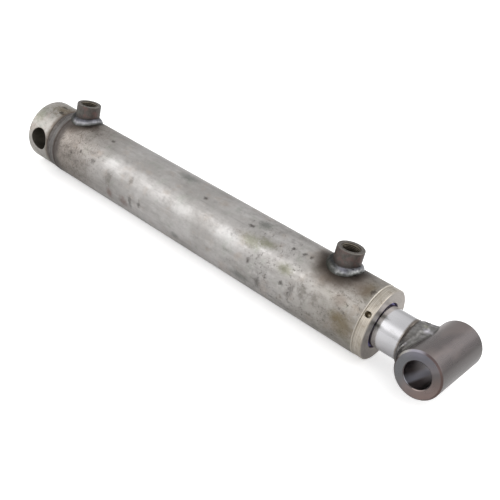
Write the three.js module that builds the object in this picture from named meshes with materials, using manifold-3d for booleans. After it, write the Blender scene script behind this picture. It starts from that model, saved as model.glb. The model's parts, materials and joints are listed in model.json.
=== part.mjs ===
// A double-acting welded hydraulic cylinder: 2-1/2 inch bore, 12 inch stroke, 1-3/4 inch rod, shown retracted.
// The barrel is a tube with a cross-drilled cap welded on one end and a screwed-in gland in the other. The rod
// carries a piston on its inner end and a cross-tube eye welded on its outer end.
// Units are millimetres. +X runs along the cylinder from the base cap to the rod eye, +Z points to the ports and
// both pin holes run along Y. The origin is the centre of the base cap's flat end face.
import * as THREE from "three";
import { mergeVertices } from "three/addons/utils/BufferGeometryUtils.js";
import Module from "manifold-3d";

const wasm = await Module();
wasm.setup();

// ---------- driving dimensions ----------
const INCH = 25.4;
const BORE_R = 1.25 * INCH; // honed bore of the tube
const TUBE_R = 1.5 * INCH; // outside of the tube
const ROD_R = 0.875 * INCH; // chromed rod
const STROKE = 12 * INCH;
const PIN_HOLE_R = 0.53125 * INCH; // both pin holes, clearance on a 1 inch pin
const PIN_TO_PIN = 21.75 * INCH; // closed length between the two pin holes
const BASE_PIN_X = 21.2;
const EYE_X = BASE_PIN_X + PIN_TO_PIN;
const EYE_R = 0.9375 * INCH;
const EYE_WIDTH = 3.5 * INCH;
const PORT_X = [62.35, 455]; // base port, rod-end port
const PORT_R = 0.5625 * INCH; // outside of a port boss
const PORT_TOP_Z = TUBE_R + 0.75 * INCH;
const PORT_THREAD_R = 8.75; // tapping size of a 3/4-16 straight thread port
const PORT_WELD_LEG = [4.6, 5.1]; // fillet size round each boss
const OIL_WAY_R = 0.25 * INCH; // drilled passage from the port into the bore

// ---------- general values ----------
const GAP = 0.3; // clearance where one piece is shaped to its neighbour
const FIT = 0.2; // clearance of seals and rings in their grooves
const ROUND = 36; // facets of a turned piece
const SMALL_ROUND = 24; // facets of a hole or a boss
const FINE_ROUND = 64; // facets of a round that only cuts its shape into a neighbour
const OVER = 1 / Math.cos(Math.PI / ROUND); // puts the flats of a turned piece on its true radius

// ---------- stations along X ----------
const CAP_R = 37.4; // the cap is turned a little under the tube
const CAP_LENGTH = 37;
const SPIGOT_END = 54; // the cap's pilot inside the tube
const TUBE_ROOT = 45; // root of the weld preparation on the tube
const TUBE_START = 52; // where the tube is full size
const TUBE_END = 502;
const GLAND_FACE = 512.2;
const FLANGE_R = 37.8;
const THREAD_R = 33;
const THREAD_START = 481.5;
const NUT_THICKNESS = 19.5;
const NUT_START = SPIGOT_END + 0.6;
const PISTON_LENGTH = 2 * INCH;
const PISTON_START = NUT_START + NUT_THICKNESS + GAP;
const PISTON_FACE = PISTON_START + PISTON_LENGTH;
const GLAND_NOSE = PISTON_FACE + STROKE + 0.6; // the piston stops here at full stroke
const ROD_WELD_START = 540;
const ROD_END = EYE_X - EYE_R - 0.8;
const ROD_TIP_R = 14; // end of the weld preparation on the rod
const SPANNER_X = TUBE_END + 0.45 * (GLAND_FACE - TUBE_END);
const SPANNER_ANGLE = 57; // degrees from +Z towards -Y to the first spanner hole
const CAP_BEVEL = 5; // length of the weld bevel on the cap
const ROOT_FACE = 0.8; // unbevelled lip at the root of the cap weld

const STEEL = material(0x9a9691, 0.42, 0.9);
const FRESH_STEEL = material(0xb9ae9a, 0.32, 0.95);
const DARK_STEEL = material(0x55504c, 0.5, 0.85);
const WELD = material(0x8d9094, 0.38, 0.9);
const CHROME = material(0xdadbe0, 0.1, 1);
const CAST_IRON = material(0x6a6a6a, 0.55, 0.8);
const RUBBER = material(0x17181a, 0.7, 0);
const URETHANE = material(0x3f3a86, 0.4, 0);
const NYLON = material(0x3a6b4a, 0.5, 0);

function material(color, roughness, metalness) {
  return new THREE.MeshStandardMaterial({ color, roughness, metalness });
}

function mesh(name, geometry, look, x = 0) {
  const made = new THREE.Mesh(geometry, look);
  made.name = name;
  made.position.x = x;
  return made;
}

// ---------- shape helpers ----------

// Turns a closed outline of [x, r] points about the X axis, with a flat facet at the bottom.
function turned(outline, facets = ROUND) {
  const area = outline.reduce((sum, [x, r], i) => {
    const [nextX, nextR] = outline[(i + 1) % outline.length];
    return sum + x * nextR - nextX * r;
  }, 0);
  const points = (area > 0 ? [...outline].reverse() : [...outline]).map(([x, r]) => new THREE.Vector2(r, x));
  points.push(points[0].clone());
  return new THREE.LatheGeometry(points, facets, Math.PI / facets).rotateZ(-Math.PI / 2);
}

// A plain square-cut ring or sleeve, from x = 0 to its width.
function ring(inner, outer, width) {
  return turned([
    [0, inner],
    [0, outer],
    [width, outer],
    [width, inner],
  ]);
}

// An O-ring squeezed in its groove: an oval section about the radius r, from x = 0 to its width.
function oRing(r, height, width) {
  const SIDES = 6;
  const outline = [];
  for (let i = 0; i < SIDES; i++) {
    const a = ((i + 0.5) / SIDES) * 2 * Math.PI;
    outline.push([width / 2 + (width / 2) * Math.cos(a), r + (height / 2) * Math.sin(a)]);
  }
  return turned(outline);
}

// A round bar from one point along the Y or Z axis, for cutting holes.
function bar(radius, length, axis, facets = SMALL_ROUND) {
  const geometry = new THREE.CylinderGeometry(radius, radius, length, facets, 1, false, Math.PI / facets);
  return axis === "z" ? geometry.rotateX(Math.PI / 2) : geometry;
}

function solid(geometry) {
  const bare = geometry.clone();
  bare.deleteAttribute("normal");
  bare.deleteAttribute("uv");
  const merged = mergeVertices(bare, 1e-4);
  return new wasm.Manifold(
    new wasm.Mesh({
      numProp: 3,
      vertProperties: new Float32Array(merged.attributes.position.array),
      triVerts: new Uint32Array(merged.index.array),
    }),
  );
}

function geometryOf(manifold) {
  const { vertProperties, triVerts } = manifold.getMesh();
  const geometry = new THREE.BufferGeometry();
  geometry.setAttribute("position", new THREE.BufferAttribute(new Float32Array(vertProperties), 3));
  geometry.setIndex(new THREE.BufferAttribute(new Uint32Array(triVerts), 1));
  geometry.computeVertexNormals();
  return geometry;
}

// Cuts every tool geometry from a body geometry.
function cut(body, ...tools) {
  return geometryOf(tools.reduce((rest, tool) => rest.subtract(solid(tool)), solid(body)));
}

// Joins closed loops of points into one closed skin. A tube closes on itself, and a bar gets a fan at each end.
function skin(loops, closesOnItself) {
  const perLoop = loops[0].length;
  const positions = loops.flat(2);
  const index = [];
  const strips = closesOnItself ? loops.length : loops.length - 1;
  for (let i = 0; i < strips; i++) {
    for (let j = 0; j < perLoop; j++) {
      const a = i * perLoop + j;
      const b = i * perLoop + ((j + 1) % perLoop);
      const c = ((i + 1) % loops.length) * perLoop + j;
      const d = ((i + 1) % loops.length) * perLoop + ((j + 1) % perLoop);
      index.push(a, b, d, a, d, c);
    }
  }
  if (!closesOnItself) {
    const last = (loops.length - 1) * perLoop;
    for (let j = 1; j < perLoop - 1; j++) {
      index.push(0, j + 1, j);
      index.push(last, last + j, last + j + 1);
    }
  }
  const geometry = new THREE.BufferGeometry();
  geometry.setAttribute("position", new THREE.Float32BufferAttribute(positions, 3));
  geometry.setIndex(index);
  return geometry;
}

// ---------- barrel ----------

// The tube, bevelled for the cap weld at one end and bored out for the gland thread at the other.
function barrelTube() {
  const CHAMFER = 1;
  const LEAD_IN = 0.7; // chamfer at the mouth of the thread
  const RUN_OUT = 1.5; // slope from the thread relief down to the bore
  const threadR = THREAD_R + GAP;
  const reliefStart = THREAD_START - 2.5;
  const body = turned([
    [TUBE_ROOT, BORE_R],
    [TUBE_ROOT, BORE_R + ROOT_FACE],
    [TUBE_START, TUBE_R * OVER],
    [TUBE_END - CHAMFER, TUBE_R * OVER],
    [TUBE_END, TUBE_R - CHAMFER],
    [TUBE_END, threadR + LEAD_IN],
    [TUBE_END - LEAD_IN, threadR],
    [reliefStart, threadR],
    [reliefStart - RUN_OUT, BORE_R],
  ]);
  const wayLength = 2 * (TUBE_R - BORE_R) + 2 * CHAMFER;
  const oilWays = PORT_X.map((x) => bar(OIL_WAY_R, wayLength, "z").translate(x, 0, (TUBE_R + BORE_R) / 2));
  return cut(body, ...oilWays);
}

// The solid end cap: a pilot in the tube, a bevel for the weld and the cross-drilled pin hole.
function baseCap() {
  const CHAMFER = 1.2;
  const SPIGOT_CHAMFER = 1;
  const shoulderR = BORE_R + ROOT_FACE / 2;
  const spigotR = BORE_R - GAP;
  const body = turned([
    [0, 0],
    [0, CAP_R - CHAMFER],
    [CHAMFER, CAP_R],
    [CAP_LENGTH, CAP_R],
    [CAP_LENGTH + CAP_BEVEL, shoulderR],
    [TUBE_ROOT - GAP, shoulderR],
    [TUBE_ROOT - GAP, spigotR],
    [SPIGOT_END - SPIGOT_CHAMFER, spigotR],
    [SPIGOT_END, spigotR - SPIGOT_CHAMFER],
    [SPIGOT_END, 0],
  ]);
  return cut(body, bar(PIN_HOLE_R, 3 * TUBE_R, "y").translate(BASE_PIN_X, 0, 0));
}

// The bead that fills the groove between cap and tube, a little under flush and lowest at both toes.
function baseCapWeld() {
  const TOE = 0.4; // depth of the undercut where the bead meets the cap
  const CROWN = 0.25; // height of the bead over the cap
  const root = BORE_R + ROOT_FACE + GAP;
  const crownR = CAP_R + CROWN;
  return turned([
    [CAP_LENGTH + CAP_BEVEL + GAP, root],
    [CAP_LENGTH + GAP + 0.2, CAP_R - TOE],
    [CAP_LENGTH + 0.45 * CAP_BEVEL, CAP_R - TOE],
    [CAP_LENGTH + CAP_BEVEL, crownR],
    [CAP_LENGTH + 2 * CAP_BEVEL, crownR + 0.2],
    [TUBE_START - 2, crownR - 0.15],
    [TUBE_START - 1.5, crownR - 0.25],
    [TUBE_ROOT - GAP, root],
  ]);
}

// A round boss with a straight-thread port right through it, shaped underneath to sit on the tube.
function portBoss() {
  const CHAMFER = 0.6;
  const THREAD_CHAMFER = 1.3;
  const outline = [
    [0, PORT_THREAD_R],
    [0, PORT_R],
    [PORT_TOP_Z - CHAMFER, PORT_R],
    [PORT_TOP_Z, PORT_R - CHAMFER],
    [PORT_TOP_Z, PORT_THREAD_R + THREAD_CHAMFER],
    [PORT_TOP_Z - THREAD_CHAMFER, PORT_THREAD_R],
  ];
  const body = turned(outline, SMALL_ROUND).rotateY(-Math.PI / 2);
  const reach = 3 * PORT_R;
  const tube = turned([
    [-reach, 0],
    [-reach, TUBE_R + GAP],
    [reach, TUBE_R + GAP],
    [reach, 0],
  ], FINE_ROUND);
  return cut(body, tube);
}

// The fillet round a boss: its section keeps its height above the tube as the tube curves away.
function portWeld(leg) {
  const STEPS = 32;
  const inner = PORT_R + GAP;
  const section = [
    [inner, GAP],
    [inner, leg],
    [inner + 0.18 * leg, 0.96 * leg],
    [inner + 0.52 * leg, 0.72 * leg],
    [inner + 0.85 * leg, 0.38 * leg],
    [inner + leg, GAP],
  ];
  const loops = [];
  for (let i = 0; i < STEPS; i++) {
    const a = (i / STEPS) * 2 * Math.PI;
    loops.push(
      section.map(([r, height]) => {
        const y = r * Math.sin(a);
        return [r * Math.cos(a), y, Math.sqrt(TUBE_R ** 2 - y ** 2) + height];
      }),
    );
  }
  return skin(loops, true);
}

function barrel() {
  const group = new THREE.Group();
  group.add(mesh("barrel_tube", barrelTube(), STEEL));
  group.add(mesh("base_cap", baseCap(), STEEL));
  group.add(mesh("base_cap_weld", baseCapWeld(), WELD));
  const boss = portBoss();
  ["base_port", "rod_end_port"].forEach((name, i) => {
    group.add(mesh(name + "_boss", boss, DARK_STEEL, PORT_X[i]));
    group.add(mesh(name + "_weld", portWeld(PORT_WELD_LEG[i]), WELD, PORT_X[i]));
  });
  return group;
}

// ---------- gland and its seals ----------

const ROD_CLEARANCE = 0.15; // between the rod and the lips that bear on it
const GLAND_BORE_R = ROD_R + 0.4;
const GLAND_NOSE_R = 27.4;
const GLAND_LAND_R = BORE_R - FIT;
const GUIDE = { width: 13, outer: ROD_R + 2.5, at: [GLAND_NOSE + 6, THREAD_START - 11] };
const ROD_SEAL = { x: THREAD_START + 6.5, width: 10, outer: ROD_R + 6.2 };
const WIPER = { x: GLAND_FACE - 9.6, width: 6.2, outer: ROD_R + 4.9 };
const GLAND_LIP_R = 24.8; // the opening round the wiper in the gland's face
const STATIC_GROOVE = { x: 465.5, width: 7.4, floor: BORE_R - 3 };

// The rod-end gland: a nose that stops the piston, an O-ring land, the thread and a flange with spanner holes.
function headGland() {
  const FLANGE_CHAMFER = 1.4;
  const BACK_CHAMFER = 0.4;
  const relief = THREAD_START - 3.5;
  const landStart = PORT_X[1] + OIL_WAY_R + 1.15; // clear of the rod-end port's oil way
  const flangeBack = TUBE_END + GAP;
  const outside = [
    [GLAND_NOSE, GLAND_NOSE_R],
    [landStart - 1.5, GLAND_NOSE_R],
    [landStart, GLAND_LAND_R],
    [STATIC_GROOVE.x, GLAND_LAND_R],
    [STATIC_GROOVE.x, STATIC_GROOVE.floor],
    [STATIC_GROOVE.x + STATIC_GROOVE.width, STATIC_GROOVE.floor],
    [STATIC_GROOVE.x + STATIC_GROOVE.width, GLAND_LAND_R],
    [relief, GLAND_LAND_R],
    [THREAD_START, THREAD_R],
    [TUBE_END - 1, THREAD_R],
    [flangeBack, THREAD_R - 1],
    [flangeBack, FLANGE_R - BACK_CHAMFER],
    [flangeBack + BACK_CHAMFER, FLANGE_R],
    [GLAND_FACE - FLANGE_CHAMFER, FLANGE_R],
    [GLAND_FACE, FLANGE_R - FLANGE_CHAMFER],
  ];
  const groove = (x, width, floor) => [
    [x + width, GLAND_BORE_R],
    [x + width, floor],
    [x, floor],
    [x, GLAND_BORE_R],
  ];
  const inside = [
    [GLAND_FACE, GLAND_LIP_R],
    [WIPER.x + WIPER.width + FIT, GLAND_LIP_R],
    [WIPER.x + WIPER.width + FIT, WIPER.outer + FIT],
    [WIPER.x - FIT, WIPER.outer + FIT],
    [WIPER.x - FIT, GLAND_BORE_R],
    ...groove(ROD_SEAL.x - FIT, ROD_SEAL.width + 2 * FIT, ROD_SEAL.outer + FIT),
    ...groove(GUIDE.at[1] - FIT, GUIDE.width + 2 * FIT, GUIDE.outer + FIT),
    ...groove(GUIDE.at[0] - FIT, GUIDE.width + 2 * FIT, GUIDE.outer + FIT),
    [GLAND_NOSE, GLAND_BORE_R],
  ];
  const SPANNER_R = 0.125 * INCH;
  const SPANNER_DEPTH = 7;
  const SPANNER_FACETS = 16;
  const holes = [0, 90, 180, 270].map((step) =>
    bar(SPANNER_R, 2 * SPANNER_DEPTH, "z", SPANNER_FACETS)
      .translate(SPANNER_X, 0, FLANGE_R)
      .rotateX(THREE.MathUtils.degToRad(SPANNER_ANGLE + step)),
  );
  return cut(turned([...outside, ...inside]), ...holes);
}

// A snap-in wiper: a body in the groove and a lip that leans out to the rod through the gland's opening.
function rodWiper() {
  const LIP_REACH = 1.4; // how far the lip stands out of the body
  const lipR = ROD_R + ROD_CLEARANCE;
  return turned([
    [0, ROD_R + 0.9],
    [0, WIPER.outer],
    [WIPER.width, WIPER.outer],
    [WIPER.width, GLAND_LIP_R - 0.5],
    [WIPER.width + LIP_REACH, lipR + 0.5],
    [WIPER.width + LIP_REACH - 0.2, lipR],
    [WIPER.width - 1.5, ROD_R + 0.6],
  ]);
}

// A U-cup with its open side towards the oil, and the O-ring that spreads its lips.
function rodSeal() {
  const SLOT = 2.5; // width of the groove between the lips
  const SLOT_DEPTH = 4.2;
  const LIP = 0.6; // slope at the tip of each lip
  const inner = ROD_R + ROD_CLEARANCE;
  const { width, outer } = ROD_SEAL;
  const middle = (inner + outer) / 2;
  return turned([
    [0, inner],
    [LIP, middle - SLOT / 2],
    [SLOT_DEPTH, middle - SLOT / 2],
    [SLOT_DEPTH, middle + SLOT / 2],
    [LIP, middle + SLOT / 2],
    [0, outer],
    [width, outer - FIT],
    [width, inner + FIT],
  ]);
}

function glandAssembly() {
  const sealMiddle = (ROD_R + ROD_CLEARANCE + ROD_SEAL.outer) / 2;
  const staticMiddle = (STATIC_GROOVE.floor + BORE_R) / 2;
  const staticHeight = BORE_R - STATIC_GROOVE.floor - 2 * FIT;
  const guideRing = ring(ROD_R + FIT, GUIDE.outer, GUIDE.width);
  const backupWidth = 1.6;
  const group = new THREE.Group();
  group.add(mesh("head_gland", headGland(), FRESH_STEEL));
  group.add(mesh("gland_o_ring", oRing(staticMiddle, staticHeight, 5), RUBBER, STATIC_GROOVE.x + FIT));
  group.add(
    mesh(
      "gland_backup_ring",
      ring(STATIC_GROOVE.floor + FIT, BORE_R - FIT, backupWidth),
      NYLON,
      STATIC_GROOVE.x + STATIC_GROOVE.width - backupWidth - FIT,
    ),
  );
  group.add(mesh("rod_wiper", rodWiper(), URETHANE, WIPER.x));
  group.add(mesh("rod_seal", rodSeal(), URETHANE, ROD_SEAL.x));
  group.add(mesh("rod_seal_expander", oRing(sealMiddle, 1.8, 3.2), RUBBER, ROD_SEAL.x + 0.7));
  group.add(mesh("rod_guide_ring_rear", guideRing, NYLON, GUIDE.at[0]));
  group.add(mesh("rod_guide_ring_front", guideRing, NYLON, GUIDE.at[1]));
  return group;
}

// ---------- piston and its rings ----------

const PISTON_R = BORE_R - 0.4;
const SPINDLE_R = 0.625 * INCH; // the rod's reduced end inside the piston
const WEAR_GROOVE = { width: 10, floor: BORE_R - 2.85, at: [3.5, PISTON_LENGTH - 13.5] };
const SEAL_GROOVE = { x: PISTON_LENGTH / 2 - 4.75, width: 9.5, floor: BORE_R - 6.25 };
const SEAL_THICKNESS = 2.7; // of the cap seal, over its energizer
const PISTON_O_RING = { x: PISTON_LENGTH - 9, width: 4, outer: SPINDLE_R + 2.7 };

function piston() {
  const groove = ({ width, floor }, x) => [
    [x, PISTON_R],
    [x, floor],
    [x + width, floor],
    [x + width, PISTON_R],
  ];
  const CHAMFER = 1;
  const LEAD_IN = 0.8; // chamfer of the bore on the rod's side
  const bore = SPINDLE_R + FIT;
  return turned([
    [0, bore],
    [0, PISTON_R - CHAMFER],
    [CHAMFER, PISTON_R],
    ...groove(WEAR_GROOVE, WEAR_GROOVE.at[0]),
    ...groove(SEAL_GROOVE, SEAL_GROOVE.x),
    ...groove(WEAR_GROOVE, WEAR_GROOVE.at[1]),
    [PISTON_LENGTH - CHAMFER, PISTON_R],
    [PISTON_LENGTH, PISTON_R - CHAMFER],
    [PISTON_LENGTH, bore + LEAD_IN],
    [PISTON_LENGTH - LEAD_IN, bore],
    [PISTON_O_RING.x + PISTON_O_RING.width, bore],
    [PISTON_O_RING.x + PISTON_O_RING.width, PISTON_O_RING.outer],
    [PISTON_O_RING.x, PISTON_O_RING.outer],
    [PISTON_O_RING.x, bore],
  ]);
}

// The rings that bear on the bore. They slide with the piston, and the piston can turn inside them.
function pistonRingPack() {
  const ENERGIZER_WIDTH = 7;
  const outer = BORE_R - 0.15;
  const sealInner = outer - SEAL_THICKNESS;
  const wearRing = ring(WEAR_GROOVE.floor + FIT, outer, WEAR_GROOVE.width - 2 * FIT);
  const energizerInner = SEAL_GROOVE.floor + FIT;
  const energizerHeight = sealInner - FIT - energizerInner;
  const group = new THREE.Group();
  group.position.x = PISTON_START;
  group.add(mesh("piston_wear_ring_rear", wearRing, NYLON, WEAR_GROOVE.at[0] + FIT));
  group.add(mesh("piston_wear_ring_front", wearRing, NYLON, WEAR_GROOVE.at[1] + FIT));
  group.add(
    mesh("piston_seal", ring(sealInner, outer, SEAL_GROOVE.width - 2 * FIT), URETHANE, SEAL_GROOVE.x + FIT),
  );
  group.add(
    mesh(
      "piston_seal_energizer",
      oRing(energizerInner + energizerHeight / 2, energizerHeight, ENERGIZER_WIDTH),
      RUBBER,
      SEAL_GROOVE.x + (SEAL_GROOVE.width - ENERGIZER_WIDTH) / 2,
    ),
  );
  return group;
}

// ---------- rod, nut and eye ----------

const ROD_THREAD_R = SPINDLE_R - 0.3;
const NUT_FLATS = 1.875 * INCH;
const NUT_INSERT = { width: 3.4, outer: ROD_THREAD_R + 2.6 };

// The rod: thread and spindle for the piston, the chromed length and a bevel for the eye weld.
function pistonRod() {
  const start = NUT_START + 0.9;
  const threadEnd = PISTON_START + 2;
  const shoulder = PISTON_FACE + FIT;
  const THREAD_CHAMFER = 1.2;
  const SHOULDER_CHAMFER = 0.8;
  return turned([
    [start, 0],
    [start, ROD_THREAD_R - THREAD_CHAMFER],
    [start + THREAD_CHAMFER, ROD_THREAD_R],
    [threadEnd, ROD_THREAD_R],
    [threadEnd + 0.4, SPINDLE_R],
    [shoulder, SPINDLE_R],
    [shoulder, ROD_R - SHOULDER_CHAMFER],
    [shoulder + SHOULDER_CHAMFER, ROD_R],
    [ROD_WELD_START, ROD_R],
    [ROD_END, ROD_TIP_R],
    [ROD_END, 0],
  ]);
}

// A hexagon lock nut, with a counterbore at its free end for the locking insert.
function pistonNut() {
  const corner = NUT_FLATS / Math.sqrt(3);
  const hexagon = new THREE.CylinderGeometry(corner, corner, NUT_THICKNESS, 6)
    .rotateZ(-Math.PI / 2)
    .translate(NUT_THICKNESS / 2, 0, 0);
  const BEVEL = 2;
  const envelope = turned([
    [0, 0],
    [0, corner - 2 * BEVEL],
    [BEVEL, corner * OVER],
    [NUT_THICKNESS - BEVEL, corner * OVER],
    [NUT_THICKNESS, corner - 2 * BEVEL],
    [NUT_THICKNESS, 0],
  ]);
  const threadHole = turned([
    [-1, 0],
    [-1, NUT_INSERT.outer + FIT],
    [NUT_INSERT.width + FIT, NUT_INSERT.outer + FIT],
    [NUT_INSERT.width + FIT, ROD_THREAD_R + FIT],
    [NUT_THICKNESS + 1, ROD_THREAD_R + FIT],
    [NUT_THICKNESS + 1, 0],
  ]);
  return geometryOf(solid(hexagon).intersect(solid(envelope)).subtract(solid(threadHole)));
}

// The cross tube, with chamfered ends.
function rodEye() {
  const half = EYE_WIDTH / 2;
  const CHAMFER = 1.6;
  const BORE_CHAMFER = 0.7;
  return turned([
    [-half, PIN_HOLE_R + BORE_CHAMFER],
    [-half, EYE_R - CHAMFER],
    [-half + CHAMFER, EYE_R * OVER],
    [half - CHAMFER, EYE_R * OVER],
    [half, EYE_R - CHAMFER],
    [half, PIN_HOLE_R + BORE_CHAMFER],
    [half - BORE_CHAMFER, PIN_HOLE_R],
    [-half + BORE_CHAMFER, PIN_HOLE_R],
  ]).rotateZ(Math.PI / 2);
}

// The bead from the rod to the eye. It starts round on the rod and spreads along the eye as it reaches it.
function rodEyeWeld() {
  const STEPS = 32;
  const LENGTH = 21;
  const SPREAD = 13.5; // how much wider than the rod it is along the eye
  const DROP = 2.6; // how much lower than the rod it is on the eye
  const CROWN = 0.9; // how much the bead swells on its way
  const loops = [0, 0.12, 0.3, 0.5, 0.75, 1].map((t) => {
    const wide = ROD_R + SPREAD * Math.sin((t * Math.PI) / 2);
    const high = ROD_R + CROWN * Math.sin(t * Math.PI) - DROP * t * t;
    const loop = [];
    for (let i = 0; i < STEPS; i++) {
      const a = (i / STEPS) * 2 * Math.PI;
      loop.push([ROD_WELD_START + GAP + LENGTH * t, wide * Math.cos(a), high * Math.sin(a)]);
    }
    return loop;
  });
  const rod = turned([
    [ROD_WELD_START - 1, 0],
    [ROD_WELD_START - 1, ROD_R + 1 + GAP],
    [ROD_END, ROD_TIP_R + GAP],
    [EYE_X, ROD_TIP_R + GAP],
    [EYE_X, 0],
  ]);
  const eye = bar(EYE_R + GAP, 2 * EYE_WIDTH, "y", FINE_ROUND).translate(EYE_X, 0, 0);
  return cut(skin(loops, false), rod, eye);
}

function rodAssembly() {
  const group = new THREE.Group();
  group.add(mesh("piston_rod", pistonRod(), CHROME));
  group.add(mesh("piston", piston(), CAST_IRON, PISTON_START));
  const { x, width, outer } = PISTON_O_RING;
  const height = outer - SPINDLE_R - 2 * GAP;
  const oRingMiddle = (outer + SPINDLE_R) / 2;
  group.add(mesh("piston_o_ring", oRing(oRingMiddle, height, width - 2 * GAP), RUBBER, PISTON_START + x + GAP));
  group.add(mesh("piston_nut", pistonNut(), DARK_STEEL, NUT_START));
  group.add(
    mesh("nut_locking_insert", ring(ROD_THREAD_R + FIT, NUT_INSERT.outer, NUT_INSERT.width), NYLON, NUT_START),
  );
  group.add(mesh("rod_eye", rodEye(), DARK_STEEL, EYE_X));
  group.add(mesh("rod_eye_weld", rodEyeWeld(), WELD));
  return group;
}

const cylinder = new THREE.Group();
cylinder.add(barrel(), glandAssembly(), pistonRingPack(), rodAssembly());

export default cylinder;
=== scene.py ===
"""The visual model of a welded hydraulic cylinder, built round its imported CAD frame.

Metres. +X runs from the base cap to the rod eye, +Z points to the ports and both pin holes run along Y.
Round pieces are turned about X from an outline of (x, radius) points, then laid along Y or Z if need be.
"""

import json
import math

import bmesh
import bpy
from mathutils import Matrix, Vector, noise
from mathutils.geometry import intersect_point_line


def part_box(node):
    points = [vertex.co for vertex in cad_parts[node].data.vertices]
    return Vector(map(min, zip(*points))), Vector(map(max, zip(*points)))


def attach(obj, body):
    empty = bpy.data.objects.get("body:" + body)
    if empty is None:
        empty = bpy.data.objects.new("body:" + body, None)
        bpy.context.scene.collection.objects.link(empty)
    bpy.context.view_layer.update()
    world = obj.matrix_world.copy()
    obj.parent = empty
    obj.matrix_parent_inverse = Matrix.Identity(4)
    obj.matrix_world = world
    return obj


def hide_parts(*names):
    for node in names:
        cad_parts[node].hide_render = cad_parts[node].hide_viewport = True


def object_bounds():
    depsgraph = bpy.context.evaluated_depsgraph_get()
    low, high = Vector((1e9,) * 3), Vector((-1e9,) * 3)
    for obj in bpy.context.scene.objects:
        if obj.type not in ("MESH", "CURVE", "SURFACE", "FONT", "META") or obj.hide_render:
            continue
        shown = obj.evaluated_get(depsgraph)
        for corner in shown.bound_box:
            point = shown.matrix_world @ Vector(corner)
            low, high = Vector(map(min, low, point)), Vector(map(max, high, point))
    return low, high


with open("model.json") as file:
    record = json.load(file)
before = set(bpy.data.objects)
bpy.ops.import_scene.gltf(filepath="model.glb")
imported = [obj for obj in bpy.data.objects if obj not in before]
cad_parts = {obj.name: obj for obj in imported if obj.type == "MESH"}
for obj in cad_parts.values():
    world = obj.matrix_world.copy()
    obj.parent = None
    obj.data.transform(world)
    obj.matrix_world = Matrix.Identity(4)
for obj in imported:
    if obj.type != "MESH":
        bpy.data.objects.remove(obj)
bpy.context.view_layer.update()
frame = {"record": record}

MM = 0.001
SEGMENTS = 192  # round the large turned pieces
ARC_STEPS = 4  # in a rounded corner
EDGE = 0.35 * MM  # usual rounding of a machined corner
OVERLAP = 0.25 * MM  # how far a bead sinks into what it is laid on

RECORD = frame["record"]
BODY_OF = {node: body for body, nodes in RECORD["behaviour"]["bodies"].items() for node in nodes}


# ---------- sizes taken from the frame ----------


def ends(node, axis=0):
    """Lowest and highest coordinate of a CAD node along an axis."""
    low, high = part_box(node)
    return low[axis], high[axis]


def true_radius(node, axis, facets):
    """Radius of a round CAD node whose corners lie on it, from its width across the flats."""
    low, high = ends(node, axis)
    return (high - low) / 2 / math.cos(math.pi / facets)


CAD_FACETS = 36  # sides of a round CAD node
CAD_SMALL_FACETS = 24  # sides of its bosses

TUBE_R = ends("barrel_tube", 2)[1]
TUBE_END = ends("barrel_tube")[1]
CAP_R = true_radius("base_cap", 2, CAD_FACETS)
CAP_WELD = (ends("base_cap_weld")[0] - 0.5 * MM, ends("base_cap_weld")[1] + 1.5 * MM)
SPIGOT_END = ends("base_cap")[1]
BASE_PIN_X = 21.2 * MM

PORT_X = {name: sum(ends(name + "_boss")) / 2 for name in ("base_port", "rod_end_port")}
PORT_R = true_radius("base_port_boss", 1, CAD_SMALL_FACETS)
PORT_TOP = ends("base_port_boss", 2)[1]
THREAD_PITCH = 25.4 / 16 * MM
THREAD_DEPTH = 0.85 * MM
PORT_CREST_R = 8.75 * MM
OIL_WAY_R = 6.35 * MM

ROD_R = true_radius("piston_rod", 1, CAD_FACETS)
BORE_R = true_radius("piston_seal", 1, CAD_FACETS) + 0.15 * MM
EYE_LOW, EYE_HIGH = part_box("rod_eye")
EYE_X = (EYE_LOW.x + EYE_HIGH.x) / 2
EYE_R = (EYE_HIGH.x - EYE_LOW.x) / 2
EYE_HALF = EYE_HIGH.y
PIN_HOLE_R = 13.49 * MM
ROD_WELD_X = ends("rod_eye_weld")[0] - 0.3 * MM
EYE_BEAD_HEIGHT = 20 * MM  # how far the eye's weld spreads up and down it
EYE_BEAD_REACH = 40.5 * MM  # and along it, to each side
CRATER = (ROD_WELD_X + 10.3 * MM, 2 * MM, 20 * MM)  # where that weld ended
LAST_RIDGE = tuple(  # the two ends of the ridge beside it
    (ROD_WELD_X + x * MM, y * MM, z * MM) for x, y, z in ((12, -6.5, 18.3), (17.6, 1.5, 20)))

PISTON_LOW, PISTON_HIGH = ends("piston")
PISTON_R = true_radius("piston", 1, CAD_FACETS)
WEAR_GROOVE_R = 28.9 * MM  # floor of the grooves of the piston's wear rings
SEAL_GROOVE_R = 25.5 * MM  # floor of its seal's groove
SPINDLE_R = 15.875 * MM  # the rod inside the piston
ROD_THREAD_R = 15.575 * MM
NUT_INSERT_R = 18.4 * MM
FIT = 0.2 * MM  # gap between parts that fit each other

GLAND_FACE = ends("head_gland")[1]
GLAND_NOSE = ends("head_gland")[0]
FLANGE_R = true_radius("head_gland", 1, CAD_FACETS)
FLANGE_BACK = TUBE_END + 0.3 * MM
GLAND_LIP_R = 24.8 * MM
GLAND_NOSE_R = 27.4 * MM
GLAND_THREAD_R = 33 * MM
SEAT_X = 477.5 * MM  # where the tube's bore widens for the gland's thread
SPANNER_X = TUBE_END + 0.45 * (GLAND_FACE - TUBE_END)
SPANNER_HOLE_R = 3.175 * MM
SPANNER_ANGLE = 57  # degrees from +Z towards -Y to the first spanner hole


def ring_size(node):
    """A ring's two ends along X and its outer radius."""
    return (*ends(node), true_radius(node, 1, CAD_FACETS))


def groove_for(node):
    """The groove round a ring, a little larger than it: its two ends along X and its outer radius."""
    low, high, outer = ring_size(node)
    return low - FIT, high + FIT, outer + FIT


# ---------- mesh helpers ----------


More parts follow.
